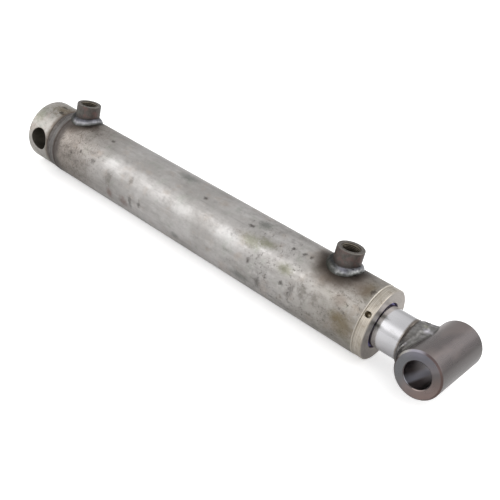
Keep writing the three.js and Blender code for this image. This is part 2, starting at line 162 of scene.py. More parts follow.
def radians(*degrees):
    """Several angles at once, from degrees."""
    return tuple(map(math.radians, degrees))


def rounded(outline, radius=EDGE):
    """The closed outline with its corners rounded. A point is (x, r) or (x, r, its own rounding)."""
    count = len(outline)
    points = []
    for i, corner in enumerate(outline):
        here = Vector(corner[:2])
        before = Vector(outline[i - 1][:2]) - here
        after = Vector(outline[(i + 1) % count][:2]) - here
        half_angle = before.angle(after) / 2
        wanted = corner[2] if len(corner) > 2 else radius
        if wanted == 0 or here.y == 0 or half_angle > math.radians(87):
            points.append(here)
            continue
        reach = min(wanted / math.tan(half_angle), 0.45 * before.length, 0.45 * after.length)
        arc_radius = reach * math.tan(half_angle)
        start = here + before.normalized() * reach
        end = here + after.normalized() * reach
        middle = (before.normalized() + after.normalized()).normalized()
        centre = here + middle * arc_radius / math.sin(half_angle)
        for step in range(ARC_STEPS + 1):
            arm = (start - centre).lerp(end - centre, step / ARC_STEPS).normalized()
            points.append(centre + arm * arc_radius)
    return points


def circle(x, r, segments=SEGMENTS):
    """One ring of points about the X axis, or the single point on the axis itself."""
    if r < 1e-6:
        return [Vector((x, 0, 0))]
    angles = [2 * math.pi * i / segments for i in range(segments)]
    return [Vector((x, -r * math.sin(a), r * math.cos(a))) for a in angles]


def loft(rings, closed):
    """Points and faces of the skin over a row of rings. Closed joins the last ring to the first."""
    points = [point for ring in rings for point in ring]
    starts = [sum(len(ring) for ring in rings[:i]) for i in range(len(rings))]
    pairs = [(i, (i + 1) % len(rings)) for i in range(len(rings) if closed else len(rings) - 1)]
    faces = []
    for a, b in pairs:
        many = max(len(rings[a]), len(rings[b]))
        for j in range(many):
            k = (j + 1) % many
            if len(rings[a]) == 1:
                faces.append((starts[a], starts[b] + j, starts[b] + k))
            elif len(rings[b]) == 1:
                faces.append((starts[a] + j, starts[b], starts[a] + k))
            else:
                faces.append((starts[a] + j, starts[b] + j, starts[b] + k, starts[a] + k))
    return points, faces


def turned(outline, segments=SEGMENTS, radius=EDGE, relief=None):
    """A turned piece about the X axis. relief(x, r, angle) gives how far a point moves outwards."""
    rings = []
    for x, r in rounded(outline, radius):
        ring = circle(x, r, segments)
        if relief:
            for i, point in enumerate(ring):
                shift = relief(x, r, 2 * math.pi * i / segments)
                point.y *= (r + shift) / r
                point.z *= (r + shift) / r
        rings.append(ring)
    return loft(rings, closed=outline[0][1] > 0)


def stretch(x0, x1, r, step):
    """Evenly spaced points along a straight stretch of an outline, with no rounding."""
    count = max(1, round(abs(x1 - x0) / step))
    return [(x0 + (x1 - x0) * i / count, r, 0) for i in range(count + 1)]


def mesh_object(name, shape, place=Matrix.Identity(4), warp=None):
    """A new object from (points, faces), laid in place, then warped, with its faces pointing out."""
    points, faces = shape
    points = [place @ point for point in points]
    data = bpy.data.meshes.new(name)
    data.from_pydata([warp(point) for point in points] if warp else points, [], faces)
    made = bmesh.new()
    made.from_mesh(data)
    bmesh.ops.remove_doubles(made, verts=made.verts, dist=1e-6)
    bmesh.ops.recalc_face_normals(made, faces=made.faces)
    for face in made.faces:
        face.smooth = True
    made.to_mesh(data)
    made.free()
    piece = bpy.data.objects.new(name, data)
    bpy.context.scene.collection.objects.link(piece)
    return piece


def cut(piece, cutters, rim):
    """Cuts the cutters from a piece, rounds the new rims and keeps the result as its mesh."""
    for cutter in cutters:
        boolean = piece.modifiers.new("cut", "BOOLEAN")
        boolean.object = cutter
        boolean.solver = "EXACT"
    if rim:
        bevel = piece.modifiers.new("rim", "BEVEL")
        bevel.width = rim
        bevel.segments = 2
        bevel.limit_method = "ANGLE"
        bevel.angle_limit = math.radians(40)
    graph = bpy.context.evaluated_depsgraph_get()
    result = bpy.data.meshes.new_from_object(piece.evaluated_get(graph))
    piece.modifiers.clear()
    piece.data = result
    for cutter in cutters:
        bpy.data.objects.remove(cutter)
    return piece


def finish_piece(node, piece, material):
    """Gives a piece its material and even shading, and has it stand for its CAD node."""
    piece.name = node + "_detailed"
    piece.data.materials.clear()
    piece.data.materials.append(material)
    for face in piece.data.polygons:
        face.use_smooth = True
    even = piece.modifiers.new("even_shading", "WEIGHTED_NORMAL")
    even.keep_sharp = True
    even.weight = 100
    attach(piece, BODY_OF[node])
    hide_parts(node)


def along_y(x):
    """Turns a piece made about X to lie along Y, at x."""
    return Matrix.Translation((x, 0, 0)) @ Matrix.Rotation(math.radians(90), 4, "Z")


def along_z(x):
    """Turns a piece made about X to stand along Z, at x."""
    return Matrix.Translation((x, 0, 0)) @ Matrix.Rotation(math.radians(-90), 4, "Y")


def wander(x, y, z, scale, seed=0.0):
    """Smooth noise between -1 and 1 whose features are about 1 / scale long."""
    return noise.noise(Vector((x * scale + seed, y * scale - seed, z * scale + 2 * seed)))


# ---------- material helpers ----------


class Nodes:
    """Short ways to add nodes to a tree and to join them."""

    def __init__(self, tree, coordinates):
        self.tree = tree
        self.place = self.add("TexCoord").outputs[coordinates]

    def join(self, value, socket):
        if isinstance(value, bpy.types.NodeSocket):
            self.tree.links.new(value, socket)
        else:
            socket.default_value = value

    def add(self, kind, *inputs, **settings):
        node = self.tree.nodes.new("ShaderNode" + kind)
        for key, value in settings.items():
            setattr(node, key, value)
        for socket, value in zip(node.inputs, inputs):
            self.join(value, socket)
        return node

    def math(self, operation, *values):
        return self.add("Math", *values, operation=operation).outputs[0]

    def times(self, first, *others):
        for other in others:
            first = self.math("MULTIPLY", first, other)
        return first

    def shifted(self, value, field, amount):
        """The value, moved by field times amount."""
        return self.math("MULTIPLY_ADD", field, amount, value)

    def vector(self, operation, *values):
        node = self.add("VectorMath", *values, operation=operation)
        return node.outputs["Value" if operation == "LENGTH" else "Vector"]

    def noise(self, scale, detail=3, roughness=0.55, place=None, distortion=0.0):
        """Noise between 0 and 1. scale is one number, or three to stretch it."""
        if isinstance(scale, (int, float)):
            scale = (scale, scale, scale)
        point = self.vector("MULTIPLY", place or self.place, scale)
        node = self.add("TexNoise")
        self.join(point, node.inputs["Vector"])
        node.inputs["Scale"].default_value = 1
        node.inputs["Detail"].default_value = detail
        node.inputs["Roughness"].default_value = roughness
        node.inputs["Distortion"].default_value = distortion
        return node.outputs["Fac"]

    def span(self, value, low, high, to_low=0.0, to_high=1.0):
        """Maps value from low..high to to_low..to_high, smoothly and clamped."""
        node = self.add("MapRange", interpolation_type="SMOOTHSTEP")
        for key, number in (
            ("Value", value),
            ("From Min", low),
            ("From Max", high),
            ("To Min", to_low),
            ("To Max", to_high),
        ):
            self.join(number, node.inputs[key])
        return node.outputs["Result"]

    def window(self, value, a, b, c, d):
        """1 between b and c, falling softly to 0 at a and d."""
        return self.times(self.span(value, a, b), self.span(value, d, c))

    def mix(self, share, first, second, blend="MIX"):
        node = self.add("Mix", data_type="RGBA", blend_type=blend)
        self.join(share, node.inputs["Factor"])
        for socket, color in zip(node.inputs[6:8], (first, second)):
            self.join(color if isinstance(color, bpy.types.NodeSocket) else (*color, 1), socket)
        return node.outputs[2]

    def axis(self, letter, place=None):
        node = self.add("SeparateXYZ", place or self.place)
        return node.outputs[letter]

    def point(self, x, y=0.0, z=0.0):
        return self.add("CombineXYZ", x, y, z).outputs[0]

    def lathe_place(self, centre, axis="X"):
        """Coordinates that don't change round a turned piece: along its axis and out from it."""
        offset = self.vector("SUBTRACT", self.place, centre)
        flat = {"X": (0, 1, 1), "Y": (1, 0, 1), "Z": (1, 1, 0)}[axis]
        out = self.vector("LENGTH", self.vector("MULTIPLY", offset, flat))
        return self.point(self.axis(axis, offset), out)

    def out_from(self, centre, flat=(1, 1, 1)):
        """Distance from a point, or from an axis through it where flat leaves one direction out."""
        offset = self.vector("SUBTRACT", self.place, centre)
        return self.vector("LENGTH", self.vector("MULTIPLY", offset, flat))


class Shader(Nodes):
    """A material with a Principled surface."""

    def __init__(self, name, color, roughness, metallic):
        self.material = bpy.data.materials.new(name)
        self.material.use_nodes = True
        super().__init__(self.material.node_tree, "Object")
        self.surface = self.tree.nodes["Principled BSDF"]
        self.set("Base Color", (*color, 1))
        self.set("Roughness", roughness)
        self.set("Metallic", metallic)

    def set(self, name, value):
        self.join(value, self.surface.inputs[name])

    def under(self):
        """The surface's colour so far."""
        socket = self.surface.inputs["Base Color"]
        return socket.links[0].from_socket if socket.is_linked else tuple(socket.default_value)[:3]

    def paint(self, color, *shares):
        """Lays a colour over the surface's own, by the product of shares from 0 to 1."""
        self.set("Base Color", self.mix(self.times(*shares), self.under(), color))

    def wash(self, value, none, full, color, share=1.0):
        """Lays a colour over the surface's own where value goes from none to full, up to that share."""
        self.paint(color, self.span(value, none, full, 0, share))

    def tone(self, color, share):
        """Darkens or tints the surface's own colour by multiplying it, by a share from 0 to 1."""
        self.set("Base Color", self.mix(share, self.under(), color, "MULTIPLY"))

    def rough(self, value, low, high, at_low, at_high):
        """Takes the roughness from at_low to at_high as value goes from low to high."""
        self.set("Roughness", self.span(value, low, high, at_low, at_high))

    def bump(self, height, distance, strength=1.0):
        """Adds relief of that height in metres, over any relief already there."""
        node = self.add("Bump")
        node.inputs["Strength"].default_value = strength
        node.inputs["Distance"].default_value = distance
        self.join(height, node.inputs["Height"])
        socket = self.surface.inputs["Normal"]
        if socket.is_linked:
            self.join(socket.links[0].from_socket, node.inputs["Normal"])
        self.join(node.outputs["Normal"], socket)


def turning_marks(shader, centre, axis, scale, depth):
    """Fine tool marks round a turned piece and rings on its faces. Returns them as 0 to 1."""
    marks = shader.noise(scale, 2, 0.7, shader.lathe_place(centre, axis))
    shader.bump(marks, depth, 0.6)
    return marks


# ---------- materials ----------


def around_tube(x, angle):
    """The point of the tube's surface at x and at an angle in degrees from +Z towards -Y."""
    a = math.radians(angle)
    return (x, -TUBE_R * math.sin(a), TUBE_R * math.cos(a))


def patch(shader, noise_field, centre, size, fray=1.7):
    """1 in the middle of a patch of that size round a point, falling to 0. fray says how ragged it is."""
    offset = shader.vector("SUBTRACT", shader.place, centre)
    away = shader.vector("LENGTH", shader.vector("DIVIDE", offset, size))
    frayed = shader.shifted(away, noise_field, fray)
    return shader.span(frayed, 1.1 + 0.5 * fray, 0.1 + 0.5 * fray)


def stain_and_highlight(shader, noise_field, rows):
    """Paints stains, and painted highlights, on the tube or the cap, by rows of colour, share, raggedness and
    patches.
    """
    for color, share, fray, places in rows:
        for along, angle, length, width in places:
            size = (length * MM, width * MM, width * MM)
            inside = patch(shader, noise_field, around_tube(along * MM, angle), size, fray)
            shader.paint(color, inside, share)


# colour, share, raggedness, then (x in mm, degrees from the top, length in mm, width in mm) of each patch
TUBE_STAINS_AND_HIGHLIGHTS = (
    ((0.17, 0.13, 0.07), 0.65, 1.5, ((490, 93, 17, 17), (493, 24, 10, 15), (480, 84, 12, 9))),
    ((0.2, 0.2, 0.13), 0.65, 1.7, ((361, 50, 18, 10), (378, 42, 16, 7), (410, 62, 13, 8))),
    ((0.15, 0.16, 0.145), 0.6, 1.7,
     ((242, 5, 19, 11), (360, 14, 11, 9), (360, 116, 16, 9), (264, 117, 9, 6))),
    ((0.17, 0.1, 0.08), 0.6, 1.7, ((181, 112, 10, 10), (156, 112, 7, 11))),
    # painted highlight: pale patches along the band where the tube's highlight falls
    ((0.68, 0.67, 0.66), 0.5, 1.5, ((268, 64, 20, 12), (330, 66, 22, 12), (150, 58, 14, 8))),
    ((0.19, 0.15, 0.12), 0.55, 1.5, ((487, 29, 17, 14), (476, 60, 12, 9), (458, 35, 22, 12))),
    ((0.1, 0.092, 0.085), 0.65, 3, ((192, 105, 4, 10), (207, 98, 3, 7), (384, 105, 4, 11), (425, 85, 4, 9))),
    ((0.14, 0.125, 0.105), 0.5, 3, ((153, 85, 9, 14), (187, 68, 4, 6), (437, 79, 7, 10), (452, 78, 5, 8))),
    ((0.06, 0.053, 0.047), 0.75, 3.4,
     ((127, 20, 3.4, 3), (121, 72, 6, 3.4), (98, 68, 3, 2.4), (84, 78, 2, 3.6),
      (368, 80, 2.4, 4), (418, 26, 3, 3.4), (426, 25, 2.4, 3), (404, 27, 2.6, 3),
      (283, 28, 4, 3), (350, 29, 5, 2), (498, 24, 3, 5), (412, 84, 3, 3))),
)
CAP_STAINS = (
    ((0.17, 0.135, 0.09), 0.9, 3, ((27, 11, 22, 17),)),
    ((0.04, 0.032, 0.026), 0.95, 3, ((30, 22, 7, 3.4), (22, 4, 8, 2.6))),
    ((0.26, 0.27, 0.21), 0.7, 3, ((8, 45, 11, 15),)),
)


def drawn_steel():
    """Bare oiled tube steel: cloudy greys, drawing streaks, pits, stains and heat marks round the welds, with
    painted highlights: pale patches along its highlight band and a glint along its end chamfer.
    """
    shader = Shader("drawn_steel", (0.405, 0.388, 0.374), 0.34, 1)
    x = shader.axis("X")
    clouds = shader.noise((20, 34, 34), 4, 0.6)
    shader.wash(clouds, 0.38, 0.66, (0.52, 0.503, 0.492))
    tint = shader.noise(55, 4, 0.62)
    shader.wash(tint, 0.52, 0.72, (0.42, 0.365, 0.32), 0.55)
    shader.wash(tint, 0.46, 0.29, (0.35, 0.365, 0.325), 0.55)
    mottle = shader.noise((110, 140, 140), 6, 0.72)
    near_base = shader.span(x, 66 * MM, 165 * MM, 1, 0)
    near_head = shader.span(x, 370 * MM, 500 * MM)
    busy = shader.math("MAXIMUM", near_base, shader.span(x, 310 * MM, 370 * MM))
    rough_skin = shader.shifted(0.45, busy, 0.55)
    shader.paint((0.21, 0.197, 0.187), shader.span(mottle, 0.5, 0.3, 0, 0.55), rough_skin)
    shader.paint((0.66, 0.64, 0.625), shader.span(mottle, 0.52, 0.72, 0, 0.5), rough_skin)
    streaks = shader.noise((9, 170, 170), 6, 0.75, distortion=0.15)
    shader.wash(streaks, 0.52, 0.72, (0.64, 0.625, 0.615), 0.4)
    shader.wash(streaks, 0.48, 0.3, (0.25, 0.24, 0.23), 0.45)
    shader.tone((0.62, 0.578, 0.538), near_base)
    shader.tone((0.76, 0.735, 0.69), near_head)
    crescents = shader.noise((330, 120, 120), 5, 0.78, distortion=2.2)
    shader.paint((0.13, 0.1, 0.083), shader.span(crescents, 0.53, 0.61), near_base, 0.8)
    shader.paint((0.43, 0.385, 0.335), shader.span(crescents, 0.46, 0.37), near_base, 0.45)
    specks = shader.noise(340, 6, 0.82, distortion=0.8)
    crowd = shader.span(shader.noise(45, 2), 0.38, 0.56)
    sparse = shader.shifted(0.12, shader.times(busy, crowd), 0.66)
    shader.paint((0.085, 0.077, 0.068), shader.span(specks, 0.545, 0.62), sparse)

    ragged = shader.noise(300, 6, 0.78)
    stain_and_highlight(shader, ragged, TUBE_STAINS_AND_HIGHLIGHTS)

    for port, reach in (("base_port", 16 * MM), ("rod_end_port", 22 * MM)):
        away = shader.out_from((PORT_X[port], 0, TUBE_R), (1, 1, 0.6))
        frayed = shader.shifted(away, shader.noise(95, 4), 9 * MM)
        edge = PORT_R + 8.5 * MM
        shader.wash(frayed, edge + reach, edge, (0.17, 0.137, 0.113), 0.88)
        shader.wash(frayed, edge + 0.75 * reach, edge, (0.05, 0.041, 0.035), 0.97)
    seam = shader.shifted(x, tint, -14 * MM)
    cap_heat = shader.span(seam, CAP_WELD[1] + 6 * MM, CAP_WELD[1] - 3 * MM)
    shader.paint((0.11, 0.094, 0.086), cap_heat, 0.92)

    # painted highlight: a bright glint along the tube's end chamfer
    shader.wash(x, TUBE_END - 1.2 * MM, TUBE_END - 0.95 * MM, (0.58, 0.54, 0.48))
    rough = shader.math("ADD", shader.span(mottle, 0.3, 0.7, 0.43, 0.3), shader.times(specks, 0.08))
    shader.set("Roughness", shader.shifted(rough, cap_heat, 0.1))
    shader.bump(clouds, 1.6 * MM, 0.35)
    shader.bump(shader.noise(130, 4, 0.6), 0.25 * MM, 0.4)
    shader.bump(shader.noise(650, 4, 0.65), 0.07 * MM, 0.5)
    shader.bump(streaks, 0.04 * MM, 0.5)
    shader.bump(shader.span(specks, 0.545, 0.62), -0.08 * MM, 0.6)
    return shader.material


def cap_steel():
    """The cap's turned bar steel, paler than the tube, brown beside its weld and dark in its hole."""
    shader = Shader("cap_steel", (0.38, 0.362, 0.34), 0.44, 1)
    x = shader.axis("X")
    clouds = shader.noise(48, 4)
    shader.wash(clouds, 0.35, 0.65, (0.5, 0.475, 0.445))
    tint = shader.noise(80, 4)
    shader.wash(tint, 0.5, 0.7, (0.45, 0.375, 0.33), 0.45)
    shader.wash(tint, 0.47, 0.28, (0.31, 0.345, 0.3), 0.55)
    mottle = shader.noise(260, 5, 0.72)
    shader.wash(mottle, 0.52, 0.7, (0.2, 0.175, 0.15), 0.55)
    shader.wash(mottle, 0.48, 0.3, (0.6, 0.58, 0.55), 0.3)
    ragged = shader.noise(330, 6, 0.8)
    stain_and_highlight(shader, ragged, CAP_STAINS)
    edge = shader.shifted(x, ragged, 6 * MM)
    shader.wash(edge, CAP_WELD[0] - 3.5 * MM, CAP_WELD[0] + 4 * MM, (0.13, 0.1, 0.078), 0.85)
    hole = shader.span(
        shader.out_from((BASE_PIN_X, 0, 0), (1, 0, 1)), PIN_HOLE_R + 0.2 * MM, PIN_HOLE_R + 0.6 * MM, 1, 0)
    shader.paint((0.25, 0.23, 0.2), hole)
    shader.rough(mottle, 0.3, 0.7, 0.38, 0.54)
    shader.bump(clouds, 0.8 * MM, 0.3)
    shader.bump(shader.noise(500, 4, 0.65), 0.1 * MM, 0.5)
    turning_marks(shader, (0, 0, 0), "X", 2500, 0.02 * MM)
    return shader.material


def bright_turned_steel():
    """The gland's freshly turned steel, warm and bright, with fine rings, painted shade on its end face and
    painted shade inside its spanner holes.
    """
    shader = Shader("bright_turned_steel", (0.5, 0.455, 0.39), 0.3, 1)
    x = shader.axis("X")
    marks = turning_marks(shader, (0, 0, 0), "X", 2600, 0.03 * MM)
    coarse = shader.noise(900, 3, 0.7, shader.lathe_place((0, 0, 0), "X"))
    shader.wash(shader.noise(60, 4), 0.35, 0.7, (0.62, 0.575, 0.51))
    shader.wash(marks, 0.46, 0.68, (0.28, 0.245, 0.205), 0.65)
    shader.wash(coarse, 0.5, 0.66, (0.25, 0.215, 0.178), 0.6)
    shader.wash(shader.noise(170, 5, 0.72), 0.53, 0.66, (0.3, 0.245, 0.18), 0.6)
    face = shader.span(x, GLAND_FACE - 0.4 * MM, GLAND_FACE - 0.1 * MM)
    clouds = shader.noise(120, 4)
    # painted shade: the end face is painted greyer and darker than the flange, as it faces away from the
    # light
    shader.paint((0.4, 0.365, 0.34), face, 0.75)
    shader.paint((0.3, 0.27, 0.25), face, shader.span(clouds, 0.45, 0.65, 0, 0.5))
    oil_and_reflection_spot = patch(shader, clouds, (GLAND_FACE, -26 * MM, 11 * MM), (9 * MM, 15 * MM, 15 * MM))
    shader.paint((0.11, 0.108, 0.092), oil_and_reflection_spot, face, 0.8)
    out = shader.out_from((0, 0, 0), (0, 1, 1))
    hole = shader.times(
        shader.span(out, FLANGE_R - 0.5 * MM, FLANGE_R - 0.25 * MM, 1, 0),
        shader.span(out, GLAND_LIP_R + 3.5 * MM, GLAND_LIP_R + 4 * MM),
        shader.span(x, GLAND_FACE - 0.5 * MM, GLAND_FACE - 0.9 * MM),
        shader.span(x, FLANGE_BACK + 0.3 * MM, FLANGE_BACK + 0.6 * MM),
    )
    # painted shade: the spanner holes are painted darker inside
    shader.paint((0.34, 0.3, 0.235), hole)
    shader.rough(marks, 0.3, 0.7, 0.27, 0.4)
    return shader.material


def boss_steel(name, x, rust):
    """A port boss: dark heat-tinted steel with upright streaks, a worn rim and a brighter thread, with
    painted shade in the thread's roots and further down the port.
    """
    shader = Shader(name, (0.094, 0.084, 0.078), 0.46, 1)
    z = shader.axis("Z")
    streaks = shader.noise((380, 380, 190), 6, 0.78)
    shader.wash(streaks, 0.35, 0.68, (0.15, 0.135, 0.125))
    patches = shader.noise(110, 4, 0.65)
    shader.wash(patches, 0.5, 0.62, (0.18, 0.115, 0.105), rust)
    shader.wash(patches, 0.47, 0.34, (0.135, 0.14, 0.125), 0.55)
    shader.wash(z, TUBE_R + 9 * MM, TUBE_R + 3 * MM, (0.055, 0.05, 0.048), 0.75)
    rim = shader.span(z, PORT_TOP - 0.5 * MM, PORT_TOP - 0.2 * MM)
    rings = shader.noise(1500, 2, 0.6, shader.lathe_place((x, 0, 0), "Z"))
    worn = shader.mix(shader.span(rings, 0.35, 0.65), (0.13, 0.118, 0.108), (0.24, 0.22, 0.2))
    shader.paint(shader.mix(shader.span(streaks, 0.5, 0.62), worn, (0.1, 0.09, 0.082)), rim)
    out = shader.out_from((x, 0, 0), (1, 1, 0))
    crest = shader.span(out, PORT_CREST_R + THREAD_DEPTH, PORT_CREST_R + 0.25 * THREAD_DEPTH)
    inside = shader.span(out, PORT_CREST_R + 1.3 * MM, PORT_CREST_R + 0.9 * MM)
    # painted shade: the thread's roots near black, and the port darker further down
    shader.paint(shader.mix(crest, (0.03, 0.025, 0.02), (0.2, 0.175, 0.14)), inside)
    shaded_depth = shader.span(z, PORT_TOP - 1.5 * MM, PORT_TOP - 8 * MM)
    shader.paint((0.02, 0.016, 0.012), inside, shaded_depth, 0.9)
    shader.rough(streaks, 0.3, 0.7, 0.4, 0.54)
    shader.bump(streaks, 0.06 * MM, 0.5)
    shader.bump(shader.noise(700, 3), 0.05 * MM, 0.4)
    return shader.material


def bead_metal(name, light, dark, toe, relief=0.25 * MM, crust=0.6):
    """A weld bead: cooled metal with lilac and straw tints, darker in its hollows."""
    shader = Shader(name, dark, 0.34, 1)
    patches = shader.noise(190, 4, 0.62)
    shader.wash(patches, 0.38, 0.62, light)
    tint = shader.noise(100, 3)
    lilac = (0.85 * light[0], 0.83 * light[1], 0.95 * light[2])
    shader.wash(tint, 0.52, 0.68, lilac, 0.6)
    shader.wash(tint, 0.47, 0.3, toe, 0.5)
    scale = shader.noise(700, 5, 0.75)
    shader.wash(scale, 0.53, 0.7, toe, crust)
    shader.rough(patches, 0.3, 0.7, 0.46, 0.28)
    shader.bump(shader.noise(420, 4, 0.65), relief, 0.6)
    shader.bump(scale, 0.3 * relief, 0.5)
    return shader


def port_bead_metal(name, x, light, dark, relief):
    """A port's bead: darkest at its toe and at the boss, with painted shade on its upper part by the boss and
    on the dull side towards the cap.
    """
    shader = bead_metal(name, light, dark, (0.12, 0.115, 0.108), relief, 0.35)
    out = shader.out_from((x, 0, 0), (1, 1, 0))
    frayed = shader.shifted(out, shader.noise(330, 3), 1.6 * MM)
    # painted shade: the bead's upper part, by the boss, is darkened
    shader.tone((0.55, 0.55, 0.59), shader.span(frayed, PORT_R + 4.6 * MM, PORT_R + 3 * MM))
    # painted shade: the side towards the cap is darkened as well as made rougher
    dull = shader.shifted(shader.axis("X"), shader.noise(220, 4), 8 * MM)
    shader.tone((0.28, 0.28, 0.25), shader.span(dull, x + 8 * MM, x - 3 * MM))
    shader.rough(dull, x + 4 * MM, x - 6 * MM, 0.34, 0.6)
    shader.wash(frayed, PORT_R + 4.4 * MM, PORT_R + 6 * MM, (0.055, 0.056, 0.048), 0.9)
    shader.wash(frayed, PORT_R + 1.9 * MM, PORT_R + 0.7 * MM, (0.07, 0.064, 0.06), 0.75)
    return shader.material


def cap_bead_metal():
    """The cap's weld: dull grey passes side by side, brown where they meet cap and tube."""
    shader = bead_metal("cap_bead_metal", (0.15, 0.136, 0.127), (0.1, 0.09, 0.083), (0.075, 0.062, 0.054))
    x = shader.axis("X")
    lines = shader.noise((1100, 70, 70), 4, 0.65)
    shader.wash(lines, 0.5, 0.68, (0.21, 0.2, 0.195), 0.55)
    shader.wash(lines, 0.47, 0.3, (0.075, 0.063, 0.058), 0.6)
    start, end = CAP_WELD
    middle = shader.window(x, start + 6.5 * MM, start + 8.5 * MM, end - 3 * MM, end - 1 * MM)
    shader.paint((0.24, 0.235, 0.23), middle, 0.35)
    shader.wash(x, start + 3 * MM, start + 0.6 * MM, (0.085, 0.064, 0.052), 0.8)
    shader.wash(x, end - 2.2 * MM, end - 0.4 * MM, (0.1, 0.082, 0.072), 0.75)
    shader.rough(lines, 0.3, 0.7, 0.54, 0.4)
    shader.bump(lines, 0.2 * MM, 0.6)
    return shader.material


def eye_bead_metal():
    """The eye's weld: dull and dark at the chrome, with painted highlights on the crater and on the ridge
    where the last pass ended.
    """
    shader = bead_metal(
        "eye_bead_metal", (0.25, 0.242, 0.235), (0.17, 0.165, 0.158), (0.12, 0.113, 0.103), 0.05 * MM, 0.12)
    frayed = shader.shifted(shader.axis("X"), shader.noise(350, 3), 2.4 * MM)
    shader.wash(frayed, ROD_WELD_X + 5.4 * MM, ROD_WELD_X + 2.8 * MM, (0.08, 0.068, 0.058), 0.85)
    out = shader.out_from((EYE_X, 0, 0), (1, 0, 1))
    shader.wash(out, EYE_R + 1.6 * MM, EYE_R + 0.6 * MM, (0.06, 0.056, 0.05), 0.6)
    ragged = shader.noise(260, 4)
    # painted highlights: a pale ring on the crater and a silvery crescent on the last ridge
    shader.paint((0.4, 0.4, 0.33), patch(shader, ragged, CRATER, [5 * MM] * 3), 0.7)
    middle = (Vector(LAST_RIDGE[0]) + Vector(LAST_RIDGE[1])) / 2
    ridge_highlight = patch(shader, ragged, middle, (6 * MM, 7 * MM, 3.4 * MM))
    shader.paint((0.56, 0.545, 0.59), ridge_highlight, 0.85)
    return shader.material


def hard_chrome():
    """Ground and polished chrome with faint grinding lines and a film of oil, browned by the eye's weld, with
    a painted light band by the gland and two painted reflections of the gland beside it.
    """
    shader = Shader("hard_chrome", (0.62, 0.612, 0.628), 0.1, 1)
    film = shader.noise((20, 70, 70), 3)
    shader.wash(film, 0.35, 0.7, (0.55, 0.545, 0.565))
    tint = shader.shifted(shader.axis("X"), shader.noise(240, 3), 2 * MM)
    shader.wash(tint, ROD_WELD_X - 1.4 * MM, ROD_WELD_X + 0.8 * MM, (0.17, 0.14, 0.115), 0.9)
    smear_and_reflection = shader.noise((60, 130, 130), 4, 0.6)
    shader.wash(smear_and_reflection, 0.56, 0.72, (0.38, 0.37, 0.36), 0.35)
    fray = shader.noise((90, 260, 260), 4, 0.7)
    # painted light: a paler band by the gland that lightens the gland's reflection in the rod
    fade = (GLAND_FACE - 90 * MM, GLAND_FACE - 5 * MM, GLAND_FACE, ROD_WELD_X)
    shader.paint((0.9, 0.89, 0.91), shader.window(shader.axis("X"), *fade), 0.35)
    # painted reflections: two dark spots beside the gland where its face shows in the chrome
    for angle, length, width in ((40, 10, 4), (66, 9, 2.8)):
        a = math.radians(angle)
        oil_and_reflection_spot = (GLAND_FACE + 1 * MM, -ROD_R * math.sin(a), ROD_R * math.cos(a))
        smear_and_reflection = patch(shader, fray, oil_and_reflection_spot, (length * MM, width * MM, width * MM))
        shader.paint((0.1, 0.105, 0.088), smear_and_reflection, 0.7)
    lines = shader.noise(5000, 2, 0.6, shader.lathe_place((0, 0, 0), "X"))
    shader.rough(film, 0.3, 0.75, 0.08, 0.15)
    shader.bump(lines, 0.004 * MM, 0.5)
    return shader.material


def paint_eye_bore(shader, bore, x, y, z):
    """The eye's bore: brown near its ends, greyer inside, with a painted reflection: a bright streak curving
    down it.
    """
    depth = shader.math("SUBTRACT", EYE_HALF, shader.math("ABSOLUTE", y))
    shader.paint((0.15, 0.125, 0.125), bore)
    shader.paint((0.5, 0.49, 0.5), bore, shader.span(depth, 14 * MM, 38 * MM))
    below = shader.math("ARCTAN2", shader.math("SUBTRACT", EYE_X, x), shader.math("MULTIPLY", z, -1.0))
    swerve = math.radians(35) / EYE_HALF
    streak = shader.window(shader.shifted(below, depth, swerve), *radians(16, 32, 42, 66))
    # painted reflection: a bright streak curving down the bore
    shader.paint((0.5, 0.51, 0.57), bore, streak)


